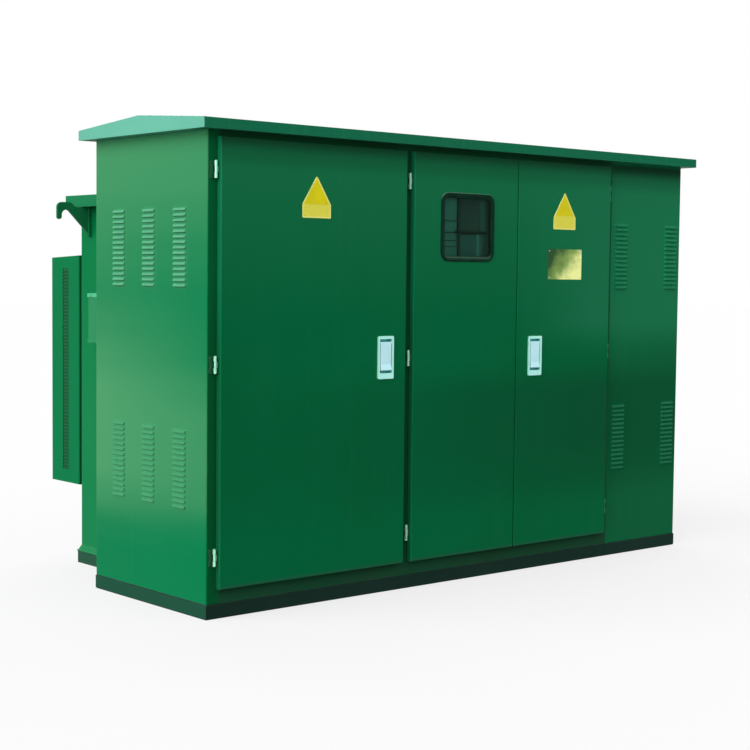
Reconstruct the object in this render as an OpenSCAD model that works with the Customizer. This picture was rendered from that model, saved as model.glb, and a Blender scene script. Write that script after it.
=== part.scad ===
// Pad-mounted compact substation. A sheet-steel cabinet with louvred walls and three
// hinged doors stands in front of a sealed transformer tank with fin radiators.
// Millimetres. +X is to the right of someone facing the doors, +Y is to the rear, +Z is up.

/* [Cabinet] */
// Width of the cabinet across its side walls
cabinet_w = 3020; // [2500:10:3700]
// Depth from the face of the door frame to the back of the rear wall
cabinet_d = 860; // [715:5:1100]
// Height of the walls, from the ground to the eaves
cabinet_h = 2000; // [1660:10:2400]
// Thickness of the wall, roof and frame sheet
sheet_t = 3; // [2:0.5:4]
// Outside radius of the folded cabinet corners
bend_r = 6; // [5:1:12]

/* [Plinth] */
// Height of the plinth frame
plinth_h = 65; // [50:5:120]
// Width of the plinth's channel section
plinth_w = 60; // [52:2:100]
// Thickness of the channel's web and flanges
plinth_t = 5; // [4:1:10]
// How far the plinth stands out past the walls
plinth_lip = 2; // [0:1:20]
// Outside radius of the channel's folds
plinth_r = 8; // [5.5:0.5:12]

/* [Door frame] */
// Width of the post face that shows beside each hinged edge
hinge_gap = 45; // [42:1:70]
// How far a door laps over the edge of its opening
door_lap = 15; // [8:1:25]
// Depth of the posts and rails
frame_depth = 50; // [30:5:80]
// Height of the sill face that shows below the doors
sill_face_h = 61; // [40:1:100]
// Height of the head rail face that shows above the doors
head_face_h = 28; // [15:1:60]

/* [Doors] */
// Width of each leaf of the double door
leaf_w = 660; // [540:5:800]
// Gap between the two leaves
leaf_gap = 6; // [6:0.5:12]
// Width of the fixed louvred panel to the right of the doors
panel_w = 549; // [450:1:660]
// Depth of a door pan from its face to the back of its flange
door_depth = 28; // [24:1:40]
// Space between the door pans and the frame
door_stand_off = 5; // [5:0.5:10]
// Width of the flange folded in behind a door's edges
door_flange_w = 20; // [12:1:35]
// Outside radius of the folded door edges
door_edge_r = 4; // [3.5:0.5:10]

/* [Hinges] */
// Height of a hinge
hinge_h = 70; // [56:1:100]
// Width of the hinge leaf on the post
hinge_leaf_w = 25; // [18:1:32]
// Distance from a door's top or bottom edge to the middle of the nearest hinge
hinge_end = 132; // [80:1:250]
// Distance from the door's edge to the pin's axis
hinge_reach = 12; // [11:0.5:14]
// Distance from the frame's face to the pin's axis
hinge_out = 14; // [13:0.5:18]
// Radius of the hinge knuckles
knuckle_r = 6; // [5:0.5:6]
// Radius of the hinge pins
pin_r = 3; // [2:0.5:3.5]

/* [Handles] */
// Border of the bezel beside the paddle's pocket
bezel_side = 10.5; // [8:0.5:25]
// Border of the bezel above the pocket
bezel_border = 13; // [10:0.5:25]
// Border of the bezel below the pocket
bezel_foot = 25.5; // [12:0.5:40]
// Height of the pull paddle
paddle_h = 127; // [105:1:170]
// Width of the pull paddle
paddle_w = 61; // [45:1:75]
// Gap above and below the paddle in its pocket
paddle_gap = 12; // [10:1:20]
// Distance from the door's free edge to the middle of the handle
handle_inset = 122; // [80:1:200]
// Height of the wide door's handle above the middle of the door
handle_1_rise = 8; // [-100:1:100]
// Height of the double door's handle above the middle of the door
handle_3_rise = -8; // [-100:1:100]
// Depth of the dish behind the paddle
dish_d = 20; // [16:1:23]

/* [Window] */
// Width over the window's rubber surround
window_w = 342; // [260:1:400]
// Height over the window's rubber surround
window_h = 314; // [240:1:400]
// Distance from the top of the door to the middle of the window
window_drop = 329; // [220:1:500]
// Width of the rubber that shows round the glass
surround_w = 25; // [18:1:40]
// Thickness of the glass
glass_t = 5; // [3:0.5:6]

/* [Louvres] */
// Louvres in each group
louvre_count = 15; // [5:1:18]
// Distance from one louvre to the next
louvre_pitch = 22.4; // [18:0.1:30]
// Length of a louvre
louvre_w = 92; // [60:1:150]
// Radius of the pressed hood
louvre_r = 12; // [8:0.5:14]
// Thickness of the pressed hood
louvre_t = 1.5; // [1:0.25:2]
// Distance between the middles of the upper and lower groups
louvre_group_gap = 920; // [700:10:1100]
// Height of the middle of the louvres above the middle of the walls
louvre_rise = 35; // [-20:5:40]
// Distance from a side wall's edges to the middle of its outer louvre columns
side_louvre_margin = 195; // [110:5:230]
// Distance from the fixed panel's edges to the middle of its louvre columns
panel_louvre_margin = 78; // [60:1:120]

/* [Roof] */
// Overhang of the roof past the walls
roof_overhang = 55; // [50:1:120]
// Height of the roof's fascia
fascia_h = 42.5; // [25:0.5:80]
// Rise of the ridge above the fascia
ridge_rise = 36; // [10:1:150]

/* [Tank] */
// Width of the transformer tank
tank_w = 2460; // [2000:10:2900]
// Depth of the transformer tank
tank_d = 600; // [500:10:900]
// Thickness of the tank's plate
tank_t = 6; // [4:1:10]
// Distance of the tank cover's top below the cabinet's eaves
tank_drop = 215; // [50:5:400]
// Height of the tank's base frame
tank_base_h = 60; // [40:5:120]
// How far the tank's base frame stands out past the tank
tank_base_lip = 14; // [1:1:60]
// Height over which the tank's plate flares out to the edge of its base frame
tank_flare_h = 28; // [10:1:80]
// Overhang of the tank's cover
cover_overhang = 55; // [30:1:90]
// Height of the cover's rim
cover_h = 55; // [30:1:80]

/* [Radiators] */
// Radiator banks across the back of the tank
bank_count = 4; // [2:1:4]
// Fins in each bank
fin_count = 9; // [4:1:10]
// Distance from fin to fin
fin_pitch = 50; // [35:1:60]
// Thickness of a fin over its oil channels
fin_t = 12; // [8:1:16]
// Depth of a fin
fin_d = 265; // [200:5:400]
// Height of a fin
fin_h = 1104; // [800:1:1250]
// Space between the tank and the fins
fin_gap = 20; // [16:1:60]
// Distance from the top of the tank's cover to the top of the fins
fin_drop = 293; // [150:1:400]
// Radius of the header pipes
header_r = 22; // [15:1:30]
// Height of the end guards above and below the fins
guard_margin = 8; // [0:1:30]
// Depth of the end guards from their outer face to the first fin
guard_d = 30; // [22:1:60]
// Slots in an end guard
guard_slot_count = 60; // [10:1:62]
// Distance from slot to slot
guard_slot_pitch = 16.6; // [14:0.1:19]
// Width of a slot
guard_slot_w = 56; // [30:1:120]
// Height of a slot
guard_slot_h = 8.5; // [5:0.5:11]

/* [Lifting hooks] */
// Thickness of a hook plate
hook_t = 12; // [8:1:20]
// Reach of a hook from the tank's side
hook_reach = 185; // [150:1:200]
// Distance from the middle of a hook to the tank's nearest corner
hook_inset = 88; // [40:1:150]

/* [Junction box] */
// Height of the junction box on the tank's side, without its lid
box_h = 215; // [120:5:300]
// Width of the junction box
box_w = 160; // [100:5:240]
// Depth of the junction box
box_d = 65; // [40:5:110]
// Height of the foot of the junction box
box_foot_z = 1086; // [600:1:1250]
// Height of the junction box's lid
box_lid_h = 18; // [8:1:40]

/* [Hidden] */
$fn = 48;

paint_front = "#11643e";
paint_side = "#469b69";
paint_gable = "#6ec3a5";
paint_rear = "#0b8a55";
plinth_black = "#1c2824";
bare_metal = "#bfe6da";

// Clearances
running = 0.05;     // radial clearance of a hole round its pin
knuckle_gap = 1;    // space between neighbouring knuckles
cutout_gap = 1;     // space round a handle's dish in the door
cut = 1;            // how far a cutter runs past the face it opens

// Places across the front
wall_x = cabinet_w / 2;
door_1_w = cabinet_w - 3 * hinge_gap - 2 * leaf_w - leaf_gap - panel_w;
door_1_x0 = -wall_x + hinge_gap;
door_1_x1 = door_1_x0 + door_1_w;
door_2_x0 = door_1_x1 + hinge_gap;
door_2_x1 = door_2_x0 + leaf_w;
door_3_x0 = door_2_x1 + leaf_gap;
door_3_x1 = door_3_x0 + leaf_w;
panel_x0 = door_3_x1 + hinge_gap;
post_w = hinge_gap + door_lap;
corner_return = 40; // return of a wall's sheet round the cabinet's corner

// Heights
door_z0 = plinth_h + sill_face_h;
door_z1 = cabinet_h - head_face_h;
door_h = door_z1 - door_z0;
door_mid_z = (door_z0 + door_z1) / 2;
opening_z0 = door_z0 + door_lap;
opening_z1 = door_z1 - door_lap;
ridge_z = cabinet_h + fascia_h + ridge_rise;
louvre_mid_z = (plinth_h + cabinet_h) / 2 + louvre_rise;
cover_z1 = cabinet_h - tank_drop;
cover_z0 = cover_z1 - cover_h;
tank_z1 = cover_z1 - tank_t;

// Depths, with the frame's face at 0
door_back_y = -door_stand_off;
door_face_y = door_back_y - door_depth;
tank_y1 = cabinet_d + tank_d;
fin_y0 = tank_y1 + fin_gap;
fin_y1 = fin_y0 + fin_d;
origin_y = (fin_y1 - roof_overhang) / 2;

// The origin is on the ground, in the middle of the whole outline
module place() {
    translate([0, -origin_y, 0]) children();
}

// ---- Shapes shared by several parts ----

module rounded_rect(w, h, r) {
    square([w - 2 * r, h], center = true);
    square([w, h - 2 * r], center = true);
    for (sx = [-1, 1], sz = [-1, 1])
        translate([sx * (w / 2 - r), sz * (h / 2 - r)]) circle(r);
}

// Extrudes an outline drawn as (x, z) from depth y0 to depth y1
module from_front(y0, y1) {
    translate([0, y1, 0]) rotate([90, 0, 0]) linear_extrude(y1 - y0) children();
}

// Extrudes an outline drawn as (y, z) from x0 to x1
module from_side(x0, x1) {
    translate([x0, 0, 0]) rotate([90, 0, 90]) linear_extrude(x1 - x0) children();
}

// A C-section lying on its back: web of width w along the first axis, legs of length d
module c_section(w, d, t) {
    square([w, t]);
    square([t, d]);
    translate([w - t, 0]) square([t, d]);
}

// ---- Louvres ----

louvre_end_flat = 1; // straight part of a louvre's end, before it rounds

// Plan of a louvre that stands out by d from the wall's outer face, with rounded ends
module louvre_plan(w, d, depth) {
    r = d - louvre_end_flat;
    translate([-w / 2, r - d]) square([w, d - r + depth]);
    translate([r - w / 2, -d]) square([w - 2 * r, d + depth]);
    for (side = [-1, 1])
        translate([side * (w / 2 - r), r - d]) circle(r);
}

// One pressed louvre on a wall whose outer face is y = 0 and that faces -Y: a quarter round
// in section and a rounded outline in plan, open at the foot
module louvre_solid(w, r, depth) {
    intersection() {
        from_side(-w / 2, w / 2)
            intersection() {
                translate([sheet_t, 0]) circle(r);
                translate([sheet_t - r, 0]) square([r - sheet_t + depth, r]);
            }
        linear_extrude(r) louvre_plan(w, r - sheet_t, depth);
    }
}

// Repeats its child at every louvre of the given columns, in an upper and a lower group
module louvre_places(columns) {
    for (x = columns, group = [-1, 1], i = [0 : louvre_count - 1])
        translate([x, 0, louvre_mid_z + group * louvre_group_gap / 2
            + (i - (louvre_count - 1) / 2) * louvre_pitch - louvre_r / 2]) children();
}

module louvre_hoods(columns) {
    louvre_places(columns) louvre_solid(louvre_w, louvre_r, sheet_t / 2);
}

module louvre_cavities(columns) {
    louvre_places(columns)
        louvre_solid(louvre_w - 2 * louvre_t, louvre_r - louvre_t, sheet_t + cut);
}

side_column_x = cabinet_d / 2 - side_louvre_margin;
side_columns = [-side_column_x, 0, side_column_x];
panel_column_x = panel_w / 2 - panel_louvre_margin;
panel_columns = [-panel_column_x, panel_column_x];

// ---- Plinth ----

plinth_x = wall_x + plinth_lip;

// Section of the plinth's channel: its web is y = 0 and its flanges run towards +Y
module plinth_section() {
    intersection() {
        mirror([1, -1]) c_section(plinth_h, plinth_w, plinth_t);
        union() {
            translate([plinth_r, 0]) square([plinth_w, plinth_h]);
            translate([0, plinth_r]) square([plinth_w, plinth_h - 2 * plinth_r]);
            for (z = [plinth_r, plinth_h - plinth_r]) translate([plinth_r, z]) circle(plinth_r);
        }
    }
}

// Run across the cabinet, mitred at both ends, with its web at y = 0
module plinth_run() {
    intersection() {
        from_side(-plinth_x, plinth_x) plinth_section();
        linear_extrude(plinth_h)
            polygon([
                [-plinth_x, 0],
                [plinth_x, 0],
                [plinth_x - plinth_w, plinth_w],
                [plinth_w - plinth_x, plinth_w]]);
    }
}

module plinth_front() {
    color(plinth_black) place() translate([0, -plinth_lip, 0]) plinth_run();
}

module plinth_rear() {
    color(plinth_black) place() translate([0, cabinet_d, 0]) mirror([0, 1, 0]) plinth_run();
}

// Runs along both ends, mitred to meet the front and rear runs
module plinth_sides() {
    color(plinth_black) place()
        for (side = [0, 1]) mirror([side, 0, 0])
            intersection() {
                from_front(-plinth_lip, cabinet_d) translate([-plinth_x, 0]) plinth_section();
                linear_extrude(plinth_h)
                    polygon([
                        [-plinth_x, -plinth_lip],
                        [plinth_w - plinth_x, plinth_w - plinth_lip],
                        [plinth_w - plinth_x, cabinet_d - plinth_w],
                        [-plinth_x, cabinet_d]]);
            }
}

// ---- Door frame and walls ----

// Corner fold in plan, with its outer corner at the origin
module corner_fold() {
    intersection() {
        square(bend_r);
        translate([bend_r, bend_r]) difference() {
            circle(bend_r);
            circle(bend_r - sheet_t);
        }
    }
}

// Side wall in plan, with its outer face at x = 0 and its rear return towards +X
module side_wall_plan(y0) {
    translate([0, y0]) square([sheet_t, cabinet_d - bend_r - y0]);
    translate([0, cabinet_d]) mirror([0, 1]) corner_fold();
    translate([bend_r, cabinet_d - sheet_t]) square([corner_return - bend_r, sheet_t]);
}

module left_wall() {
    color(paint_side) place() difference() {
        union() {
            translate([-wall_x, 0, plinth_h]) linear_extrude(cabinet_h - plinth_h) {
                corner_fold();
                translate([bend_r, 0]) square([post_w - bend_r, sheet_t]);
                translate([post_w - sheet_t, 0]) square([sheet_t, frame_depth / 2]);
                side_wall_plan(bend_r);
            }
            translate([-wall_x, cabinet_d / 2, 0]) rotate([0, 0, -90]) louvre_hoods(side_columns);
        }
        translate([-wall_x, cabinet_d / 2, 0]) rotate([0, 0, -90]) louvre_cavities(side_columns);
    }
}

module right_wall() {
    color(paint_side) place() difference() {
        union() {
            translate([wall_x, 0, plinth_h]) linear_extrude(cabinet_h - plinth_h)
                mirror([1, 0]) side_wall_plan(corner_return);
            translate([wall_x, cabinet_d / 2, 0]) rotate([0, 0, 90]) louvre_hoods(side_columns);
        }
        translate([wall_x, cabinet_d / 2, 0]) rotate([0, 0, 90]) louvre_cavities(side_columns);
    }
}

module rear_wall() {
    color(paint_side) place()
        translate([-wall_x + corner_return, cabinet_d - sheet_t, plinth_h])
            cube([cabinet_w - 2 * corner_return, sheet_t, cabinet_h - plinth_h]);
}

module front_panel() {
    panel_mid_x = (panel_x0 + wall_x) / 2;
    color(paint_front) place() difference() {
        union() {
            translate([0, 0, plinth_h]) linear_extrude(cabinet_h - plinth_h) {
                translate([panel_x0, 0]) square([wall_x - bend_r - panel_x0, sheet_t]);
                translate([panel_x0, 0]) square([sheet_t, frame_depth / 2]);
                translate([wall_x, 0]) mirror([1, 0]) corner_fold();
                translate([wall_x - sheet_t, bend_r]) square([sheet_t, corner_return - bend_r]);
            }
            translate([panel_mid_x, 0, 0]) louvre_hoods(panel_columns);
        }
        translate([panel_mid_x, 0, 0]) louvre_cavities(panel_columns);
    }
}

module rail(z0, z1) {
    from_side(-wall_x + post_w, panel_x0)
        translate([0, z0]) mirror([1, -1]) c_section(z1 - z0, frame_depth, sheet_t);
}

module sill() {
    color(paint_front) place() rail(plinth_h, opening_z0);
}

module head_rail() {
    color(paint_front) place() rail(opening_z1, cabinet_h);
}

module post(x0, x1) {
    translate([x0, 0, opening_z0]) linear_extrude(opening_z1 - opening_z0)
        c_section(x1 - x0, frame_depth, sheet_t);
}

module centre_post() {
    color(paint_front) place() post(door_1_x1 - door_lap, door_2_x0 + door_lap);
}

module right_post() {
    color(paint_front) place() post(door_3_x1 - door_lap, panel_x0);
}

// ---- Roof ----

roof_lip = 40; // width of the lip that lies on the walls, from their outer faces

// Half of the roof in section: slope, fascia and the lip that lies on the walls
module roof_half_outline() {
    polygon([
        [-roof_overhang, cabinet_h],
        [-roof_overhang, cabinet_h + fascia_h],
        [cabinet_d / 2, ridge_z],
        [cabinet_d / 2, ridge_z - sheet_t],
        [-roof_overhang + sheet_t, cabinet_h + fascia_h - sheet_t],
        [-roof_overhang + sheet_t, cabinet_h + sheet_t],
        [roof_lip, cabinet_h + sheet_t],
        [roof_lip, cabinet_h]]);
}

module roof_half() {
    half_length = wall_x + roof_overhang - sheet_t;
    from_side(-half_length, half_length) roof_half_outline();
}

module roof_front() {
    color(paint_front) place() roof_half();
}

module roof_rear() {
    color(paint_front) place()
        translate([0, cabinet_d, 0]) mirror([0, 1, 0]) roof_half();
}

// End plate of the roof at the -X end, with its lip on the side wall
module gable() {
    end_x = -wall_x - roof_overhang;
    from_side(end_x, end_x + sheet_t)
        polygon([
            [-roof_overhang, cabinet_h],
            [-roof_overhang, cabinet_h + fascia_h],
            [cabinet_d / 2, ridge_z],
            [cabinet_d + roof_overhang, cabinet_h + fascia_h],
            [cabinet_d + roof_overhang, cabinet_h]]);
    translate([end_x + sheet_t, roof_lip, cabinet_h])
        cube([roof_overhang + roof_lip, cabinet_d - 2 * roof_lip, sheet_t]);
}

module gable_left() {
    color(paint_gable) place() gable();
}

module gable_right() {
    color(paint_gable) place() mirror([1, 0, 0]) gable();
}

// ---- Doors ----

// Block with its four front edges rounded, from x0 to x1 and from z0 to z1
module door_block(x0, x1, z0, z1) {
    r = door_edge_r;
    intersection() {
        translate([0, 0, z0]) linear_extrude(z1 - z0) {
            translate([x0 + r, door_face_y]) square([x1 - x0 - 2 * r, door_depth]);
            translate([x0, door_face_y + r]) square([x1 - x0, door_depth - r]);
            for (x = [x0 + r, x1 - r]) translate([x, door_face_y + r]) circle(r);
        }
        from_side(x0, x1) {
            translate([door_face_y, z0 + r]) square([door_depth, z1 - z0 - 2 * r]);
            translate([door_face_y + r, z0]) square([door_depth - r, z1 - z0]);
            for (z = [z0 + r, z1 - r]) translate([door_face_y + r, z]) circle(r);
        }
    }
}

// Pan of folded sheet: face, four edges and a flange turned in behind them
module door_pan(x0, x1) {
    inner_depth = door_depth - 2 * sheet_t;
    difference() {
        door_block(x0, x1, door_z0, door_z1);
        translate([x0 + sheet_t, door_face_y + sheet_t, door_z0 + sheet_t])
            cube([x1 - x0 - 2 * sheet_t, inner_depth, door_h - 2 * sheet_t]);
        translate([x0 + door_flange_w, door_back_y - 2 * sheet_t, door_z0 + door_flange_w])
            cube([x1 - x0 - 2 * door_flange_w, 2 * sheet_t + cut, door_h - 2 * door_flange_w]);
    }
}

handle_1_x = door_1_x1 - handle_inset;
handle_3_x = door_3_x0 + handle_inset;
paddle_side_gap = 5;
pocket_w = paddle_w + 2 * paddle_side_gap;
pocket_h = paddle_h + 2 * paddle_gap;
bezel_w = pocket_w + 2 * bezel_side;
bezel_h = pocket_h + bezel_border + bezel_foot;
pocket_rise = (bezel_foot - bezel_border) / 2; // from the bezel's middle to the pocket's
handle_1_z = door_mid_z + handle_1_rise;
handle_3_z = door_mid_z + handle_3_rise;
dish_t = 2;

// Outline of the pocket, grown by a border on every side, for a handle with its middle at [x, z]
module pocket_outline(x, z, border) {
    translate([x, z + pocket_rise])
        square([pocket_w + 2 * border, pocket_h + 2 * border], center = true);
}

module handle_cutout(x, z) {
    from_front(door_face_y - cut, door_face_y + sheet_t + cut)
        pocket_outline(x, z, dish_t + cutout_gap);
}

window_x = (door_2_x0 + door_2_x1) / 2;
window_z = door_z1 - window_drop;
surround_r = 45;
surround_lap = 10; // how far the rubber laps over the edge of the hole
glass_bite = 7;    // how far the glass runs into the rubber

// Rounded outline set in from the rubber's outer edge
module window_outline(inset) {
    translate([window_x, window_z])
        rounded_rect(window_w - 2 * inset, window_h - 2 * inset, surround_r - inset);
}

module door_1() {
    color(paint_front) place() difference() {
        door_pan(door_1_x0, door_1_x1);
        handle_cutout(handle_1_x, handle_1_z);
    }
}

module door_2() {
    color(paint_front) place() difference() {
        door_pan(door_2_x0, door_2_x1);
        from_front(door_face_y - cut, door_face_y + sheet_t + cut) window_outline(surround_lap);
    }
}

module door_3() {
    color(paint_front) place() difference() {
        door_pan(door_3_x0, door_3_x1);
        handle_cutout(handle_3_x, handle_3_z);
    }
}

// Two top-hat ribs across the inside of a door's face, the upper one below the window
hat_w = 60;
hat_h = 16;
hat_t = 2;
hat_rim = 15;
lower_rib_rise = 420; // from the door's foot to the lower rib's middle
upper_rib_drop = 100; // from the window's foot to the upper rib's middle
lower_rib_z = door_z0 + lower_rib_rise;
upper_rib_z = window_z - window_h / 2 - upper_rib_drop;

module top_hat() {
    for (side = [0, 1]) mirror([0, side]) {
        translate([0, hat_w / 2 - hat_rim]) square([hat_t, hat_rim]);
        translate([0, hat_w / 2 - hat_rim]) square([hat_h, hat_t]);
    }
    translate([hat_h - hat_t, hat_rim - hat_w / 2]) square([hat_t, hat_w - 2 * hat_rim]);
}

module stiffeners(x0, x1) {
    for (z = [lower_rib_z, upper_rib_z])
        from_side(x0 + sheet_t, x1 - sheet_t)
            translate([door_face_y + sheet_t, z]) top_hat();
}

module stiffeners_1() {
    color(paint_front) place() stiffeners(door_1_x0, door_1_x1);
}

module stiffeners_2() {
    color(paint_front) place() stiffeners(door_2_x0, door_2_x1);
}

module stiffeners_3() {
    color(paint_front) place() stiffeners(door_3_x0, door_3_x1);
}

// ---- Hinges ----

hinge_zs = [door_z0 + hinge_end, door_mid_z, door_z1 - hinge_end];
knuckle_h = 26; // height of the door's knuckle, in the middle of the hinge

// Post side of one hinge, with the pin's axis at the origin and the door towards +X
module hinge_leaf() {
    end_h = (hinge_h - knuckle_h) / 2 - knuckle_gap;
    waist = 7;
    from_front(hinge_out - sheet_t, hinge_out)
        translate([-hinge_leaf_w, 0]) {
            translate([waist / 2, -hinge_h / 2]) square([hinge_leaf_w - waist, hinge_h]);
            for (z = [-hinge_h / 2, hinge_h / 2 - end_h]) translate([0, z]) square([hinge_leaf_w, end_h]);
        }
    for (z = [-hinge_h / 2, hinge_h / 2 - end_h]) {
        translate([0, 0, z]) cylinder(r = knuckle_r, h = end_h);
        translate([-knuckle_r, 0, z]) cube([knuckle_r, hinge_out, end_h]);
    }
    translate([0, 0, -hinge_h / 2]) cylinder(r = pin_r, h = hinge_h);
}

// Door side of one hinge: knuckle round the pin and an arm to the door's edge
module hinge_arm() {
    arm_t = 8;
    difference() {
        union() {
            translate([0, 0, -knuckle_h / 2]) cylinder(r = knuckle_r, h = knuckle_h);
            translate([0, -arm_t / 2, -knuckle_h / 2]) cube([hinge_reach, arm_t, knuckle_h]);
        }
        translate([0, 0, -knuckle_h / 2 - cut]) cylinder(r = pin_r + running, h = knuckle_h + 2 * cut);
    }
}

// Repeats its child at the three hinges of a door whose hinged edge is at edge_x
module hinge_places(edge_x, side) {
    for (z = hinge_zs)
        translate([edge_x - side * hinge_reach, -hinge_out, z])
            mirror([side < 0 ? 1 : 0, 0, 0]) children();
}

module hinge_leaves_1() {
    color(bare_metal) place() hinge_places(door_1_x0, 1) hinge_leaf();
}

module hinge_leaves_2() {
    color(bare_metal) place() hinge_places(door_2_x0, 1) hinge_leaf();
}

module hinge_leaves_3() {
    color(bare_metal) place() hinge_places(door_3_x1, -1) hinge_leaf();
}

module hinge_arms_1() {
    color(bare_metal) place() hinge_places(door_1_x0, 1) hinge_arm();
}

module hinge_arms_2() {
    color(bare_metal) place() hinge_places(door_2_x0, 1) hinge_arm();
}

module hinge_arms_3() {
    color(bare_metal) place() hinge_places(door_3_x1, -1) hinge_arm();
}

// ---- Handles ----

bezel_t = 6;
bezel_corner_r = 7;
paddle_t = 5;
paddle_lip_h = 27;  // height of the flared foot of the paddle
paddle_lip_out = 7; // how far the foot flares out
paddle_barrel_r = 6;
paddle_face_y = door_face_y - bezel_t + 1;
paddle_pin_y = door_face_y + 2;
paddle_foot_z = pocket_rise - paddle_h / 2;                   // from the handle's middle
paddle_pin_z = pocket_rise + paddle_h / 2 - paddle_barrel_r;  // from the handle's middle

// Bezel on the door's face, the dish behind it and the paddle's pin
module handle(x, z) {
    pin_half = (pocket_w + dish_t) / 2;
    difference() {
        union() {
            from_front(door_face_y - bezel_t, door_face_y)
                translate([x, z]) rounded_rect(bezel_w, bezel_h, bezel_corner_r);
            from_front(door_face_y - cut, door_face_y + dish_d) pocket_outline(x, z, dish_t);
        }
        from_front(door_face_y - bezel_t - cut, door_face_y + dish_d - dish_t)
            pocket_outline(x, z, 0);
    }
    from_side(x - pin_half, x + pin_half) translate([paddle_pin_y, z + paddle_pin_z]) circle(pin_r);
}

// Section of the paddle, from the handle's middle: a barrel round the pin, a flat plate and
// a foot that flares out and is cut square to the flare
module paddle_section() {
    back_y = paddle_face_y + paddle_t;
    lip_z = paddle_foot_z + paddle_lip_h;
    foot_y = paddle_face_y - paddle_lip_out;
    translate([paddle_pin_y, paddle_pin_z]) circle(paddle_barrel_r);
    translate([paddle_face_y, lip_z]) square([paddle_t, paddle_pin_z - lip_z]);
    polygon([
        [paddle_face_y, lip_z],
        [foot_y, paddle_foot_z + paddle_t / 2],
        [foot_y + paddle_t / 2, paddle_foot_z],
        [foot_y + paddle_t + paddle_t / 4, paddle_foot_z + paddle_t / 2],
        [back_y, lip_z]]);
}

module paddle(x, z) {
    from_side(x - paddle_w / 2, x + paddle_w / 2)
        translate([0, z]) difference() {
            paddle_section();
            translate([paddle_pin_y, paddle_pin_z]) circle(pin_r + running);
        }
}

module handle_1() {
    color(bare_metal) place() handle(handle_1_x, handle_1_z);
}

module handle_3() {
    color(bare_metal) place() handle(handle_3_x, handle_3_z);
}

module paddle_1() {
    color(bare_metal) place() paddle(handle_1_x, handle_1_z);
}

module paddle_3() {
    color(bare_metal) place() paddle(handle_3_x, handle_3_z);
}

// ---- Window ----

rubber_t = 5;    // thickness of the rubber on each side of the door's sheet
rubber_step = 2; // step round the front edge of the rubber

module window_surround() {
    glass_y = door_face_y + (sheet_t - glass_t) / 2;
    color("#141817") place() difference() {
        union() {
            from_front(door_face_y - rubber_t, door_face_y) window_outline(rubber_step);
            from_front(door_face_y - rubber_t + rubber_step, door_face_y) window_outline(0);
            from_front(door_face_y - cut, door_face_y + sheet_t + cut) window_outline(surround_lap);
            from_front(door_face_y + sheet_t, door_face_y + sheet_t + rubber_t) window_outline(0);
        }
        from_front(door_face_y - rubber_t - cut, door_face_y + sheet_t + rubber_t + cut)
            window_outline(surround_w);
        from_front(glass_y, glass_y + glass_t) window_outline(surround_w - glass_bite);
    }
}

module window_glass() {
    glass_y = door_face_y + (sheet_t - glass_t) / 2;
    color([0.1, 0.15, 0.15, 0.6]) place()
        from_front(glass_y, glass_y + glass_t) window_outline(surround_w - glass_bite);
}

// ---- Tank ----

// Sloping foot of the tank's sides and rear, as a solid wedge frame
module tank_flare() {
    half_w = tank_w / 2;
    z1 = tank_base_h + tank_flare_h;
    intersection() {
        from_front(cabinet_d, tank_y1 + tank_base_lip)
            polygon([
                [-half_w - tank_base_lip, tank_base_h],
                [-half_w, z1],
                [half_w, z1],
                [half_w + tank_base_lip, tank_base_h]]);
        from_side(-half_w - tank_base_lip, half_w + tank_base_lip)
            polygon([
                [cabinet_d, tank_base_h],
                [cabinet_d, z1],
                [tank_y1, z1],
                [tank_y1 + tank_base_lip, tank_base_h]]);
    }
}

module tank_walls() {
    color(paint_rear) place() difference() {
        union() {
            translate([-tank_w / 2, cabinet_d, tank_base_h]) cube([tank_w, tank_d, tank_z1 - tank_base_h]);
            tank_flare();
        }
        translate([-tank_w / 2 + tank_t, cabinet_d + tank_t, tank_base_h - cut])
            cube([tank_w - 2 * tank_t, tank_d - 2 * tank_t, tank_z1 - tank_base_h + 2 * cut]);
    }
}

module tank_cover() {
    cover_w = tank_w + 2 * cover_overhang;
    cover_d = tank_d + cover_overhang;
    color(paint_rear) place() difference() {
        translate([-cover_w / 2, cabinet_d, cover_z0]) cube([cover_w, cover_d, cover_h]);
        translate([-cover_w / 2 + tank_t, cabinet_d - cut, cover_z0 - cut])
            cube([cover_w - 2 * tank_t, cover_d - tank_t + cut, cover_h - tank_t + cut]);
    }
}

module tank_base() {
    base_w = tank_w + 2 * tank_base_lip;
    base_d = tank_d + tank_base_lip;
    color(plinth_black) place() difference() {
        translate([-base_w / 2, cabinet_d, 0]) cube([base_w, base_d, tank_base_h]);
        translate([-base_w / 2 + tank_t, cabinet_d + tank_t, -cut])
            cube([base_w - 2 * tank_t, base_d - 2 * tank_t, tank_base_h - tank_t + cut]);
    }
}

// ---- Radiators ----

bank_w = (fin_count - 1) * fin_pitch + fin_t;
bank_step = (tank_w - 2 * guard_d - bank_w) / (bank_count - 1);
fin_z1 = cover_z1 - fin_drop;
fin_z0 = fin_z1 - fin_h;
fin_mid_y = (fin_y0 + fin_y1) / 2;
fin_mid_z = (fin_z0 + fin_z1) / 2;
fin_seam = 9;      // flat seam round a fin
fin_groove_w = 26; // flat strip between a fin's two oil channels
fin_header_h = 55; // height of a fin's cross channel
fin_plate_t = 3;
fin_corner_r = 12;     // corner of a fin's seam
fin_channel_r = 18;    // corner of the channels inside it
header_y = fin_y0 + (fin_d - fin_groove_w) / 4 + fin_seam / 2;
header_zs = [fin_z0 + fin_header_h, fin_z1 - fin_header_h];

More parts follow.
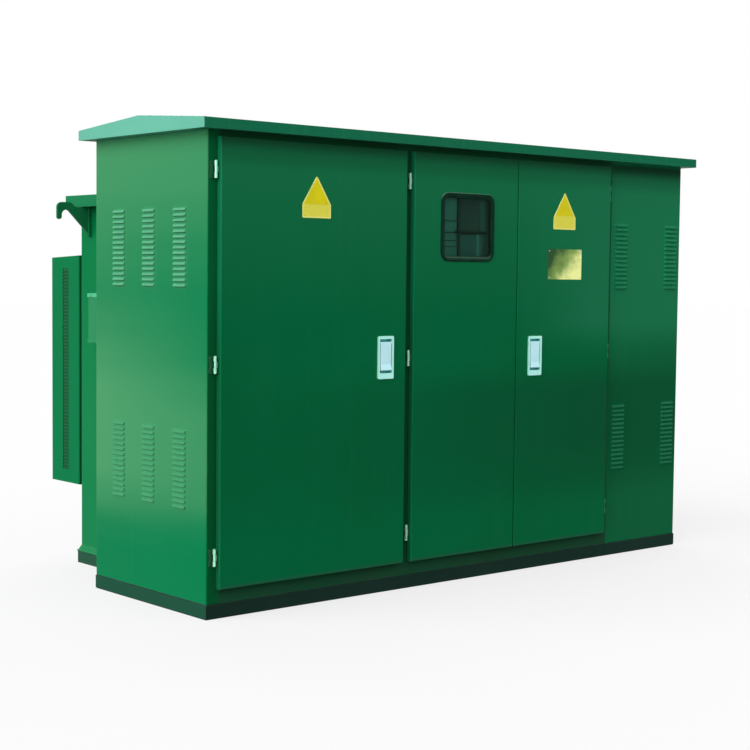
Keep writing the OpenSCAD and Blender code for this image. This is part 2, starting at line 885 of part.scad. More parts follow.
// One pressed fin, its outer face at x = 0: two oil channels on a flat plate
module fin() {
    translate([(fin_t - fin_plate_t) / 2, 0, 0])
        from_side(0, fin_plate_t) translate([fin_mid_y, fin_mid_z]) rounded_rect(fin_d, fin_h, fin_corner_r);
    from_side(0, fin_t)
        translate([fin_mid_y, fin_mid_z]) difference() {
            rounded_rect(fin_d - 2 * fin_seam, fin_h - 2 * fin_seam, fin_channel_r);
            rounded_rect(fin_groove_w, fin_h - 2 * fin_header_h, fin_groove_w / 2 - 0.5);
        }
}

// A bank of fins on two header pipes that run back into the tank. The outer banks' pipes
// run on to carry the end guards.
module radiator(bank) {
    x0 = -tank_w / 2 + guard_d + bank * bank_step;
    pipe_x0 = bank == 0 ? -tank_w / 2 + guard_t : x0 + fin_t / 2;
    pipe_x1 = bank == bank_count - 1 ? tank_w / 2 - guard_t : x0 + bank_w - fin_t / 2;
    for (i = [0 : fin_count - 1]) translate([x0 + i * fin_pitch, 0, 0]) fin();
    for (z = header_zs) {
        from_side(pipe_x0, pipe_x1) translate([header_y, z]) circle(header_r);
        from_front(tank_y1, header_y) translate([x0 + bank_w / 2, z]) circle(header_r);
    }
}

module radiator_1() {
    color(paint_rear) place() radiator(0);
}

module radiator_2() {
    color(paint_rear) place() radiator(1);
}

module radiator_3() {
    color(paint_rear) place() radiator(2);
}

module radiator_4() {
    color(paint_rear) place() radiator(3);
}

guard_t = 3;
guard_fold = 18;
guard_fall = 11; // fall of a guard's top edge towards the rear

module guard_outline(inset) {
    polygon([
        [fin_y0 + inset, fin_z0 - guard_margin + inset],
        [fin_y0 + inset, fin_z1 + guard_margin - inset],
        [fin_y1 - inset, fin_z1 + guard_margin - guard_fall - inset],
        [fin_y1 - inset, fin_z0 - guard_margin + inset]]);
}

// Guard plate at the -X end of the radiators: a folded tray with a column of slots
module guard() {
    x0 = -tank_w / 2;
    difference() {
        from_side(x0, x0 + guard_fold) guard_outline(0);
        from_side(x0 + guard_t, x0 + guard_fold + cut) guard_outline(guard_t);
        for (i = [0 : guard_slot_count - 1])
            translate([x0 - cut, fin_mid_y - guard_slot_w / 2,
                fin_mid_z + (i - (guard_slot_count - 1) / 2) * guard_slot_pitch - guard_slot_h / 2])
                cube([guard_t + 2 * cut, guard_slot_w, guard_slot_h]);
    }
}

module guard_left() {
    color(paint_rear) place() guard();
}

module guard_right() {
    color(paint_rear) place() mirror([1, 0, 0]) guard();
}

// ---- Lifting hooks ----

hook_root_h = 143;  // height of a hook's root on the tank's side
hook_h = 164;       // height over the whole hook
hook_throat_r = 24; // radius of the throat that holds the sling
hook_tip_r = 12;    // half the width of the hook's tip
hook_nose_r = 25;
hook_tip_z = 95;    // middle of the tip's rounded end
hook_throat_z = 104; // middle of the throat
hook_heel_x = 30;    // outer end of the root's foot
hook_heel_h = 12;
hook_rise_x = 32;    // from the cover's rim to the foot of the hook's rising back
hook_back_x = 57;    // from the cover's rim to the top of it

// Hook in outline: the tank's side is x = 0, the hook reaches towards +X and its back
// stays clear of the cover's rim
module hook_outline() {
    throat_x = hook_reach - 2 * hook_tip_r - hook_throat_r;
    difference() {
        union() {
            polygon([
                [0, 0],
                [0, hook_root_h],
                [cover_overhang + hook_rise_x, hook_root_h],
                [cover_overhang + hook_back_x, hook_h],
                [hook_reach - hook_nose_r, hook_h],
                [hook_reach - hook_nose_r, hook_throat_z],
                [hook_heel_x, hook_heel_h]]);
            translate([hook_reach - hook_nose_r, hook_h - hook_nose_r]) circle(hook_nose_r);
            translate([hook_reach - 2 * hook_tip_r, hook_tip_z])
                square([2 * hook_tip_r, hook_h - hook_nose_r - hook_tip_z]);
            translate([hook_reach - hook_tip_r, hook_tip_z]) circle(hook_tip_r);
        }
        translate([throat_x, hook_throat_z]) circle(hook_throat_r);
        translate([throat_x - hook_throat_r * cos(45), hook_throat_z + hook_throat_r * sin(45)])
            rotate(-45) translate([0, -hook_reach - hook_throat_r])
                square([2 * hook_throat_r, hook_reach + hook_throat_r]);
        translate([throat_x, 0]) square([hook_throat_r, hook_throat_z]);
    }
}

module hooks() {
    root_gap = 2; // space between a hook's root and the cover's rim
    for (y = [cabinet_d + hook_inset, tank_y1 - hook_inset])
        translate([tank_w / 2, 0, cover_z0 - hook_root_h - root_gap])
            from_front(y - hook_t / 2, y + hook_t / 2) hook_outline();
}

module hooks_left() {
    color(paint_rear) place() mirror([1, 0, 0]) hooks();
}

module hooks_right() {
    color(paint_rear) place() hooks();
}

// ---- Junction box ----

box_inset = 173; // distance from the box's rear edge to the tank's rear corner
box_lid_lip = 4;
box_lid_fall = 2; // fall of the lid's top away from the tank
box_rim_h = 12;
box_rim_lip = 3;

// Box with a rim round its foot and a lid that laps over it and sheds water
module junction_box() {
    y1 = tank_y1 - box_inset;
    y0 = y1 - box_w;
    z1 = box_foot_z + box_h;
    color(paint_side) place() translate([-tank_w / 2, 0, 0]) {
        translate([-box_d, y0, box_foot_z]) cube([box_d, box_w, box_h]);
        translate([-box_d - box_rim_lip, y0 - box_rim_lip, box_foot_z])
            cube([box_d + box_rim_lip, box_w + 2 * box_rim_lip, box_rim_h]);
        from_front(y0 - box_lid_lip, y1 + box_lid_lip)
            polygon([
                [0, z1],
                [0, z1 + box_lid_h + box_lid_fall],
                [-box_d - box_lid_lip, z1 + box_lid_h],
                [-box_d - box_lid_lip, z1]]);
    }
}

plinth_front();
plinth_rear();
plinth_sides();
sill();
head_rail();
left_wall();
centre_post();
right_post();
front_panel();
right_wall();
rear_wall();
roof_front();
roof_rear();
gable_left();
gable_right();
hinge_leaves_1();
hinge_leaves_2();
hinge_leaves_3();
door_1();
stiffeners_1();
hinge_arms_1();
handle_1();
paddle_1();
door_2();
stiffeners_2();
hinge_arms_2();
window_surround();
window_glass();
door_3();
stiffeners_3();
hinge_arms_3();
handle_3();
paddle_3();
tank_walls();
tank_cover();
tank_base();
radiator_1();
radiator_2();
radiator_3();
radiator_4();
guard_left();
guard_right();
hooks_left();
hooks_right();
junction_box();
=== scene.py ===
# %% [markdown]
# # A compact substation, dressed in Blender
# The cabinet, doors, tank and radiators come from CAD and stay exactly where they are.
# Blender adds what a drawing leaves out: paint that has been sprayed and then rained on,
# rubber, glass, brass, screws and weld beads. The script reads from top to bottom, one
# piece or finish to a cell.

# %% Load the frame
import math

import bpy
import bmesh
import numpy as np
from mathutils import Matrix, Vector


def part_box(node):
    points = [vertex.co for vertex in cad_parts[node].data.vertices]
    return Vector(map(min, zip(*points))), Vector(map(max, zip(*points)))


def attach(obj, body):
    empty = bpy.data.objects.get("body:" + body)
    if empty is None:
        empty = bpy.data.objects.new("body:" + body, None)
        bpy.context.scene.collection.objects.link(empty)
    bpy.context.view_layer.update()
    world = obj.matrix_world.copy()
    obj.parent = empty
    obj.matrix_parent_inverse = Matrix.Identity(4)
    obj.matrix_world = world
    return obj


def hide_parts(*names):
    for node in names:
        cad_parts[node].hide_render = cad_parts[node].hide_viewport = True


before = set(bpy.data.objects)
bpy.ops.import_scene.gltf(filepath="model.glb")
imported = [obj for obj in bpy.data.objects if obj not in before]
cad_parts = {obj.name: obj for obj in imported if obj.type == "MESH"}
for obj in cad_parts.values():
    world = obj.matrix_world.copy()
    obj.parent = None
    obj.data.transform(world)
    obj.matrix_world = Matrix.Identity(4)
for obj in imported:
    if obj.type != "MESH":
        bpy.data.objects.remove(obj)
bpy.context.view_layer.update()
MM = 0.001

# %% [markdown]
# ## The camera
# A camera is a place, a direction and a lens. The direction is written as three turns:
# yaw about the vertical, pitch up or down, and a small roll. From them come the camera's
# own right, up and back, which are the columns of its rotation matrix.

# %% Place the camera
CAMERA_AT = (-5.2006, -6.14148, 1.42523)
YAW, PITCH, ROLL = 0.71448, -0.06362, 0.01075
LENS, SENSOR = 76.156, 36.0  # millimetres


def camera_turn(yaw, pitch, roll):
    """Columns right, up and back. Forward is (sin yaw cos pitch, cos yaw cos pitch, sin pitch);
    right is level, up is their cross product, and roll turns right and up in their plane."""
    forward = np.array([math.sin(yaw), math.cos(yaw), math.tan(pitch)]) * math.cos(pitch)
    level = np.array([math.cos(yaw), -math.sin(yaw), 0.0])
    upright = np.cross(level, forward)
    right = math.cos(roll) * level + math.sin(roll) * upright
    up = math.cos(roll) * upright - math.sin(roll) * level
    return np.stack([right, up, -forward], 1)


lens = bpy.data.cameras.new("view")
lens.lens, lens.sensor_width = LENS, SENSOR
lens.clip_start, lens.clip_end = 0.1, 200.0
camera = bpy.data.objects.new("view", lens)
bpy.context.scene.collection.objects.link(camera)
turn = Matrix(camera_turn(YAW, PITCH, ROLL).tolist()).to_4x4()
camera.matrix_world = Matrix.Translation(CAMERA_AT) @ turn
bpy.context.scene.camera = camera
bpy.context.scene.view_settings.view_transform = "Standard"
print("camera at", CAMERA_AT)

# %% [markdown]
# ## Helpers for shader nodes
# A finish is a small graph of nodes. Writing each node in one line keeps a recipe short:
# `plug` links a socket or sets its number, and `wire` makes a node and plugs all it needs.

# %% Node helpers


def plug(tree, socket, value):
    """Links a socket to a value that is an output, or else sets its number or colour."""
    if isinstance(value, bpy.types.NodeSocket):
        tree.links.new(value, socket)
    else:
        socket.default_value = value


def fill(tree, node, **values):
    """Plugs a node's sockets by name, where underscores stand for spaces."""
    for title, value in values.items():
        plug(tree, node.inputs[title.replace("_", " ")], value)


def wire(tree, kind, sockets=None, **settings):
    """Makes one shader node, with settings by name, and plugs the sockets given."""
    made = tree.nodes.new("ShaderNode" + kind)
    for name, value in settings.items():
        setattr(made, name, value)
    for name, value in (sockets or {}).items():
        plug(tree, made.inputs[name], value)
    return made


def reckon(tree, operation, *values, clamp=False):
    """One Math node on up to three values."""
    sockets = dict(enumerate(values))
    return wire(tree, "Math", sockets, operation=operation, use_clamp=clamp).outputs[0]


def remap(tree, value, low, high, to_low=0.0, to_high=1.0):
    """Value carried from the range low to high onto to_low to to_high, held at its ends."""
    sockets = dict(enumerate((value, low, high, to_low, to_high)))
    return wire(tree, "MapRange", sockets).outputs[0]


def tint(red, green, blue):
    """A colour as a screen shows it, 0 to 255, turned into the linear values a shader wants."""
    part = np.array([red, green, blue]) / 255
    linear = np.where(part <= 0.04045, part / 12.92, ((part + 0.055) / 1.055) ** 2.4)
    return (*linear.tolist(), 1.0)


def blend_colour(tree, mask, below, above):
    """The colour below where the mask is 0 and the colour above where it is 1. A colour is an
    output, or red, green and blue as a screen shows them."""
    mix = wire(tree, "Mix", {0: mask}, data_type="RGBA")
    for socket, colour in ((6, below), (7, above)):
        plug(tree, mix.inputs[socket], tint(*colour) if isinstance(colour, tuple) else colour)
    return mix.outputs[2]


# %% [markdown]
# ## Light
# Three broad lamps do the work: one low on the left, one above the doors, and one behind.
# Each is a sun with a very wide disc, because a sun has no falloff and a wide disc keeps the
# shadows soft: under the hoods of the louvres they should be no more than a darker line.

# %% Lamps
LAMPS = {  # name: (direction towards the lamp, light on a surface that faces it, disc in degrees)
    "left_lamp": ((-0.95, -0.02, 0.28), 2.05, 100),
    "door_lamp": ((0.10, -0.60, 0.79), 0.21, 60),
    "rear_lamp": ((0.60, 0.62, 0.50), 0.80, 80),
}
for name, (towards, level, disc) in LAMPS.items():
    lamp = bpy.data.lights.new(name, "SUN")
    lamp.energy = level * math.pi
    lamp.angle = math.radians(disc)
    stand = bpy.data.objects.new(name, lamp)
    bpy.context.scene.collection.objects.link(stand)
    back = np.array(towards) / np.linalg.norm(towards)
    side = np.cross([0, 0, 1], back)
    side /= np.linalg.norm(side)
    stand.matrix_world = Matrix(np.stack([side, np.cross(back, side), back], 1).tolist()).to_4x4()
print("lamps:", ", ".join(LAMPS))

# %% [markdown]
# ## The white room
# The world behind everything is white only to the camera, to mirrors and through glass. As a
# light it is much dimmer, because a strong light from all round would wash the paint out.
# The Light Path node tells the two uses apart.

# %% The white room
ROOM_LIGHT = 0.24


def seen_directly(tree):
    """1 for camera, mirror and see-through rays, and 0 for the rays that only carry light."""
    path = wire(tree, "LightPath")
    direct = reckon(tree, "MAXIMUM", path.outputs["Is Camera Ray"], path.outputs["Is Glossy Ray"])
    return reckon(tree, "MAXIMUM", direct, path.outputs["Is Transmission Ray"])


world = bpy.data.worlds.new("room")
bpy.context.scene.world = world
world.use_nodes = True
tree = world.node_tree
tree.nodes.clear()
dim = wire(tree, "Background", {"Color": (1, 1, 1, 1), "Strength": ROOM_LIGHT})
white = wire(tree, "Background", {"Color": (1, 1, 1, 1), "Strength": 1.0})
choice = wire(tree, "MixShader", {0: seen_directly(tree), 1: dim.outputs[0], 2: white.outputs[0]})
wire(tree, "OutputWorld", {"Surface": choice.outputs[0]})
print("room light", ROOM_LIGHT)

# %% [markdown]
# ## Surfaces from numbers
# Every new piece is a grid of points worked out by a formula, and its faces join each point
# to its neighbours. A ring of points moved along a profile gives a plate, a moulding or a
# tube; the same few helpers serve all of them, and the floor first of all.

# %% Grids of points


def grid_faces(rows, columns, ring, loop=False):
    """Corner numbers of a grid's quads. A ring joins the last column to the first, and a
    loop joins the last row to the first."""
    row = np.arange(rows if loop else rows - 1)[:, None]
    column = np.arange(columns if ring else columns - 1)[None]
    below, beside = (row + 1) % rows, (column + 1) % columns
    corners = [row * columns + column, row * columns + beside,
               below * columns + beside, below * columns + column]
    shape = (row.shape[0], column.shape[1])
    return np.stack([np.broadcast_to(c, shape) for c in corners], 2).reshape(-1, 4)


def shell(name, grids, ring=True, loop=False, capped=True, crease=35):
    """One mesh from one or more grids of points, each rows by columns by 3. Quads join the
    neighbours, one face closes each end row where capped, and all faces turn outwards."""
    points, faces, start = [], [], 0
    for grid in grids:
        rows, columns = grid.shape[:2]
        points.append(grid.reshape(-1, 3))
        faces += (grid_faces(rows, columns, ring, loop) + start).tolist()
        if capped:
            faces.append((start + np.arange(columns)[::-1]).tolist())
            faces.append((start + (rows - 1) * columns + np.arange(columns)).tolist())
        start += rows * columns
    mesh = bpy.data.meshes.new(name)
    mesh.from_pydata(np.concatenate(points).tolist(), [], faces)
    if capped or loop:
        edit = bmesh.new()
        edit.from_mesh(mesh)
        bmesh.ops.recalc_face_normals(edit, faces=edit.faces)
        edit.to_mesh(mesh)
        edit.free()
    mesh.shade_smooth()
    mesh.set_sharp_from_angle(angle=math.radians(crease))
    made = bpy.data.objects.new(name, mesh)
    bpy.context.scene.collection.objects.link(made)
    return made


def stand_on(local, at, out, up=(0, 0, 1)):
    """Carries points (across, along, proud) onto a surface: at + across (up x out) + along up
    + proud out."""
    return (np.asarray(at) + local[..., :1] * np.cross(up, out)
            + local[..., 1:2] * np.asarray(up) + local[..., 2:] * np.asarray(out))


# %% [markdown]
# ## The floor
# The floor is pale to the eye and keeps the object's soft shadow. As a source of bounced
# light it is a plain grey, so that it doesn't fill the shadows under the roof from below.

# %% The floor
FLOOR_HALF = 60.0
GLOW_SHARE = 0.72  # of what the eye sees; the rest is paint that takes the shadow
span = np.linspace(-FLOOR_HALF, FLOOR_HALF, 5)
flat = np.stack([*np.meshgrid(span, span), np.zeros((5, 5))], 2)  # (x, y, 0) on a square grid
floor = shell("floor", [flat], ring=False, capped=False)

floor_paint = bpy.data.materials.new("floor")
floor_paint.use_nodes = True
tree = floor_paint.node_tree
tree.nodes.clear()
grey = wire(tree, "BsdfDiffuse", {"Color": (0.17, 0.17, 0.17, 1)})
pale = wire(tree, "BsdfDiffuse", {"Color": (0.62, 0.62, 0.62, 1)})
glow = wire(tree, "Emission", {"Color": (1, 1, 1, 1), "Strength": 1.0})
shown = wire(tree, "MixShader", {0: GLOW_SHARE, 1: pale.outputs[0], 2: glow.outputs[0]})
choice = wire(tree, "MixShader", {0: seen_directly(tree), 1: grey.outputs[0], 2: shown.outputs[0]})
wire(tree, "OutputMaterial", {"Surface": choice.outputs[0]})
floor.data.materials.append(floor_paint)
print("floor", 2 * FLOOR_HALF, "m across")

# %% [markdown]
# ## Effects that several finishes share
# Sprayed paint has a fine orange-peel skin over sheet that is never quite flat. Rain draws
# streaks down it, dust settles on ledges and splashes up from the ground, and edges that
# get knocked lose their paint. Each of these is one node group with a few named inputs, so
# that a door and a tank can share the effect and still differ in strength.

# %% Make a node group


def effect(name, inputs, outputs):
    """A node group with number inputs {name: usual value} and number outputs. Returns its
    tree, what it is given, and the sockets that take its results."""
    group = bpy.data.node_groups.new(name, "ShaderNodeTree")
    for title, usual in inputs.items():
        socket = group.interface.new_socket(title, in_out="INPUT", socket_type="NodeSocketFloat")
        socket.default_value = usual
    for title in outputs:
        group.interface.new_socket(title, in_out="OUTPUT", socket_type="NodeSocketFloat")
    given = group.nodes.new("NodeGroupInput").outputs
    result = group.nodes.new("NodeGroupOutput").inputs
    print("effect", name, "takes", ", ".join(inputs), "and gives", ", ".join(outputs))
    return group, given, result


def use(tree, group, **values):
    """Places an effect in a material, with its inputs by name."""
    placed = wire(tree, "Group", node_tree=group)
    fill(tree, placed, **values)
    return placed.outputs


def place(tree):
    """Where the surface is, as the sockets X, Y and Z, in metres."""
    return wire(tree, "SeparateXYZ", {0: wire(tree, "TexCoord").outputs["Object"]}).outputs


def facing(tree):
    """The surface's outward direction, as the sockets X, Y and Z."""
    return wire(tree, "SeparateXYZ", {0: wire(tree, "NewGeometry").outputs["Normal"]}).outputs


def grain(tree, scale, stretch=None, detail=2.0, roughness=0.5):
    """Noise between 0 and 1 on Object coordinates, with so many grains to the metre."""
    where = wire(tree, "TexCoord").outputs["Object"]
    if stretch:
        where = wire(tree, "Mapping", {"Vector": where, "Scale": stretch}).outputs[0]
    sockets = {"Vector": where, "Scale": scale, "Detail": detail, "Roughness": roughness}
    return wire(tree, "TexNoise", sockets).outputs[0]


# %% [markdown]
# ### Paint skin
# The skin is a height in millimetres: grains four to the centimetre for the orange peel,
# and slow waves a third of a metre long for sheet that welding has pulled out of true.

# %% Paint skin
paint_skin, given, result = effect("paint_skin", {"Peel": 0.03, "Waves": 1.0}, ["Height"])
peel = reckon(paint_skin, "MULTIPLY", grain(paint_skin, 420.0), given["Peel"])
waves = reckon(paint_skin, "MULTIPLY", grain(paint_skin, 2.6, detail=1.0), given["Waves"])
plug(paint_skin, result["Height"], reckon(paint_skin, "ADD", peel, waves))

# %% [markdown]
# ### Worn edges
# The Bevel node gives the direction that a surface would have if its edges were rounded.
# Where that differs from the real direction, an edge is near. Noise breaks the line up, so
# that the wear comes in nicks and not as an outline.

# %% Worn edges
worn_edges, given, result = effect(
    "worn_edges", {"Width": 2 * MM, "Ragged": 0.5, "Amount": 1.0}, ["Mask"])
rounded = wire(worn_edges, "Bevel", {"Radius": given["Width"]}, samples=4).outputs[0]
real = wire(worn_edges, "NewGeometry").outputs["Normal"]
agree = wire(worn_edges, "VectorMath", {0: rounded, 1: real}, operation="DOT_PRODUCT")
near_edge = remap(worn_edges, agree.outputs["Value"], 0.99, 0.80)
nicks = remap(worn_edges, grain(worn_edges, 55.0, detail=4.0), 0.42, 0.62)
kept = reckon(worn_edges, "MULTIPLY", nicks, given["Ragged"])
mask = reckon(worn_edges, "SUBTRACT", near_edge, kept, clamp=True)
plug(worn_edges, result["Mask"], reckon(worn_edges, "MULTIPLY", mask, given["Amount"]))

# %% [markdown]
# ### Dust and splashes
# Dust lies where a surface faces up, and rain throws a little earth up the lowest part of
# the walls. Both are masks: how far the surface faces up, how near it is to the ground, and
# a noise that thins the dust in places, so that it doesn't look like a coat of paint.

# %% Dust and splashes
dust, given, result = effect(
    "dust", {"Ledges": 0.5, "Splash": 0.3, "Splash Height": 0.35}, ["Mask"])
speckle = remap(dust, grain(dust, 6.0, (1, 1.6, 1), detail=6.0, roughness=0.55), 0.30, 0.70)
ledge = reckon(dust, "MULTIPLY", remap(dust, facing(dust)["Z"], 0.35, 0.95), given["Ledges"])
share = reckon(dust, "DIVIDE", place(dust)["Z"], given["Splash Height"])
low = reckon(dust, "POWER", reckon(dust, "SUBTRACT", 1.0, share, clamp=True), 1.6)
splash = reckon(dust, "MULTIPLY", low, given["Splash"])
both = reckon(dust, "ADD", ledge, splash)
thinned = reckon(dust, "MULTIPLY", both, reckon(dust, "ADD", speckle, 0.35), clamp=True)
plug(dust, result["Mask"], thinned)

# %% [markdown]
# ### Rain streaks
# Run-off leaves faint upright streaks, so the noise is stretched along the height. A second,
# slow noise lets them come and go, because rain doesn't run down a whole wall alike.

# %% Rain streaks
rain, given, result = effect("rain", {"Amount": 0.3}, ["Mask"])
thread = remap(rain, grain(rain, 30.0, (1, 1, 0.022), detail=3.0), 0.52, 0.80)
patch = remap(rain, grain(rain, 1.7, detail=1.0), 0.40, 0.65)
runs = reckon(rain, "MULTIPLY", thread, patch)
plug(rain, result["Mask"], reckon(rain, "MULTIPLY", runs, given["Amount"]))

# %% [markdown]
# ### Brushed lines
# Brushing leaves hair lines along one direction. They are noise squeezed across the stroke
# and drawn out along it, and they steer the roughness more than the colour.

# %% Brushed lines
brushed, given, result = effect("brushed", {"Lines": 900.0}, ["Value"])
where = wire(brushed, "TexCoord").outputs["Object"]
drawn = wire(brushed, "Mapping", {"Vector": where, "Scale": (0.02, 0.02, 1.0)}).outputs[0]
lines = wire(brushed, "TexNoise", {"Vector": drawn, "Scale": given["Lines"], "Detail": 3.0})
plug(brushed, result["Value"], lines.outputs[0])

# %% [markdown]
# ### Specks
# Chips and spots are the peaks of a rough noise, cut off at a height that leaves the wanted
# share of them standing.

# %% Specks
specks, given, result = effect("specks", {"Scale": 40.0, "Share": 0.1}, ["Mask"])
spot = wire(specks, "TexNoise", {"Vector": wire(specks, "TexCoord").outputs["Object"],
                                 "Scale": given["Scale"], "Detail": 5.0, "Roughness": 0.7})
edge = reckon(specks, "SUBTRACT", 0.82, given["Share"])
over = reckon(specks, "SUBTRACT", spot.outputs[0], edge)
plug(specks, result["Mask"], reckon(specks, "MULTIPLY", over, 14.0, clamp=True))
print("effects:", len(bpy.data.node_groups))

# %% [markdown]
# ## Paint
# The whole object wears one kind of finish, a green sprayed over sheet steel, and its parts
# differ in tone; some of these tones are painted light and shade, as said where each is made.
# So one function mixes every paint: the colour, a paler tone of it between two heights, then
# dust, streaks and the bare primer of worn edges laid over it in turn, as they come in real life.

# %% Mix a paint
DUST_COLOUR, STREAK_COLOUR = (104, 142, 118), (120, 175, 145)
PAINT_GLOSS = 0.02  # of the full shine of a clear coat: this paint is matt
SHEET_WAVES = 1.2  # millimetres


def finish_of(name):
    """A new material, its node tree and its shader."""
    material = bpy.data.materials.new(name)
    material.use_nodes = True
    return material, material.node_tree, material.node_tree.nodes["Principled BSDF"]


def bumps(tree, height):
    """A height in millimetres as the direction that the shader takes for the surface's own."""
    sockets = {"Height": height, "Distance": MM, "Strength": 1.0}
    return wire(tree, "Bump", sockets).outputs[0]


def above(tree, low, high):
    """0 at the height low and 1 at the height high."""
    return remap(tree, place(tree)["Z"], low, high)


def paint(name, colour, shade, bleached=None, bleach=None, rough=0.45, worn=0.4, ledges=0.12,
          splash=0.03, streaks=0.02, worn_to=(110, 175, 145), dust_to=DUST_COLOUR):
    """Sprayed paint: colour and shade are its two tones, the paler tone is what it turns to
    from the first of two heights to the second, in metres, and worn_to is the colour of its
    edges."""
    material, tree, shader = finish_of(name)
    slow = remap(tree, grain(tree, 1.1, detail=3.0), 0.35, 0.65)
    coat = blend_colour(tree, slow, colour, shade)
    if bleached:
        uneven = remap(tree, grain(tree, 1.9), 0.2, 0.8, 0.9, 1.0)
        share = reckon(tree, "MULTIPLY", above(tree, *bleach), uneven)
        coat = blend_colour(tree, share, coat, bleached)
    coat = blend_colour(tree, use(tree, rain, Amount=streaks)["Mask"], coat, STREAK_COLOUR)
    dirt = use(tree, dust, Ledges=ledges, Splash=splash)["Mask"]
    coat = blend_colour(tree, dirt, coat, dust_to)
    coat = blend_colour(tree, use(tree, worn_edges, Amount=worn)["Mask"], coat, worn_to)
    dull = reckon(tree, "MULTIPLY", dirt, 0.4)
    patchy = remap(tree, grain(tree, 7.0, detail=4.0), 0.3, 0.7, rough - 0.05, rough + 0.05)
    fill(tree, shader, Base_Color=coat, Specular_IOR_Level=PAINT_GLOSS,
         Roughness=reckon(tree, "ADD", patchy, dull, clamp=True),
         Normal=bumps(tree, use(tree, paint_skin, Waves=SHEET_WAVES)["Height"]))
    return material


door_green = paint("door_green", (4, 107, 64), (5, 103, 60), bleached=(24, 116, 74),
                   bleach=(1.2, 1.8), worn=0.15, splash=0.01)
panel_green = paint("panel_green", (12, 109, 66), (16, 103, 63), worn=0.15, splash=0.01)
# painted shade: the posts, head rail and sill stand back behind the doors, and their darker green
# stands for the shade there
frame_green = paint("frame_green", (18, 82, 48), (20, 76, 44))
sill_green = paint("sill_green", (24, 77, 51), (28, 71, 46))
wall_green = paint("wall_green", (2, 105, 63), (3, 108, 65), splash=0.01)
roof_green = paint("roof_green", (24, 118, 84), (28, 113, 80), ledges=0.35, streaks=0.1)
# painted reflection: the gable ends are a paler green than the roof, standing for sky light
# reflected in their paint
gable_green = paint("gable_green", (84, 153, 132), (92, 161, 140), worn=0.2)
tank_green = paint("tank_green", (1, 104, 57), (2, 102, 56), bleached=(15, 109, 63),
                   bleach=(1.4, 0.7), ledges=0.3)
cover_green = paint("cover_green", (22, 108, 67), (24, 105, 65), ledges=0.3)
guard_green = paint("guard_green", (2, 104, 59), (3, 100, 58), ledges=0.3)
strip_green = paint("strip_green", (48, 88, 82), (54, 96, 88))
shelf_green = paint("shelf_green", (40, 58, 54), (36, 53, 50))
plinth_black = paint("plinth_black", (24, 48, 41), (28, 53, 46), rough=0.6, worn=0.6,
                     worn_to=(70, 100, 84), dust_to=(84, 104, 88))
base_green = paint("base_green", (28, 66, 50), (36, 72, 54), rough=0.6, worn=0.6,
                   ledges=0.6, worn_to=(70, 110, 90))
hinge_paint = paint("hinge_paint", (74, 140, 108), (88, 158, 122), worn=0.7,
                    worn_to=(190, 222, 205))
print("paints:", ", ".join(m.name for m in bpy.data.materials))

# %% [markdown]
# ### Paint over paint
# Some nodes are one sheet in the CAD and show more than one tone: some tones are their own,
# and many are painted light and shade. A second tone is laid over a finished paint where a
# mask is 1. A mask is a place: how deep in a corner, how far out from a wall, which way a face
# is turned, or how high it is.

# %% Lay a second tone over a paint
SHELTER_REACH = 20 * MM
BETWEEN_GROUPS = 1.1, 1.4  # heights of the top of the lower louvres and the foot of the upper


def recolour(material, mask_of, colour, higher=None):
    """Lays a colour over a paint by the mask that mask_of works out in the paint's tree. With
    higher, the colour changes to it from the lower louvres to the upper ones."""
    tree = material.node_tree
    socket = tree.nodes["Principled BSDF"].inputs["Base Color"]
    under = socket.links[0].from_socket
    if higher:
        colour = blend_colour(tree, above(tree, *BETWEEN_GROUPS), colour, higher)
    plug(tree, socket, blend_colour(tree, mask_of(tree), under, colour))


def middle(node):
    """The middle of a CAD node's box."""
    low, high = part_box(node)
    return (low + high) / 2


def off(tree, axis, plane=0.0):
    """Distance from a plane across an axis, either way: |place - plane|."""
    return reckon(tree, "ABSOLUTE", reckon(tree, "SUBTRACT", place(tree)[axis], plane))


def in_a_crevice(tree):
    """1 in a corner that little light reaches from nearby, 0 in the open."""
    shelter = wire(tree, "AmbientOcclusion", {"Distance": SHELTER_REACH}, samples=4)
    return remap(tree, shelter.outputs["AO"], 0.92, 0.45)


def standing_out(axis, face):
    """A mask of what stands out along an axis past a wall's outer face, either way."""
    return lambda tree: remap(tree, off(tree, axis), face + 1 * MM, face + 5 * MM)


def turned_to(axis):
    """A mask of the faces turned to the front (Y) or to the left (X)."""
    return lambda tree: remap(tree, facing(tree)[axis], -0.9, -0.98)


def wall_return(tree):
    """1 on the narrow front face of the side wall, and 0 on the ends of its louvre hoods."""
    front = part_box("left_wall")[0].y
    return reckon(tree, "MINIMUM", turned_to("Y")(tree),
                  remap(tree, place(tree)["Y"], front + 5 * MM, front + 3 * MM))


def foot_of_door(tree):
    """1 along the lowest edge of a door, where rain hangs and leaves its dust."""
    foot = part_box("door_1")[0].z
    return remap(tree, place(tree)["Z"], foot + 20 * MM, foot + 5 * MM)


# %% [markdown]
# ### Bands up a sheet
# Tones come in bands up a sheet: painted shade under the eaves at the top of the doors and the
# front panel, painted reflection in broad bands on the side walls, and a pale band above a dim
# one on the doors. Each band is a list of stops, a height in metres and a share, and a colour
# ramp eases from stop to stop.

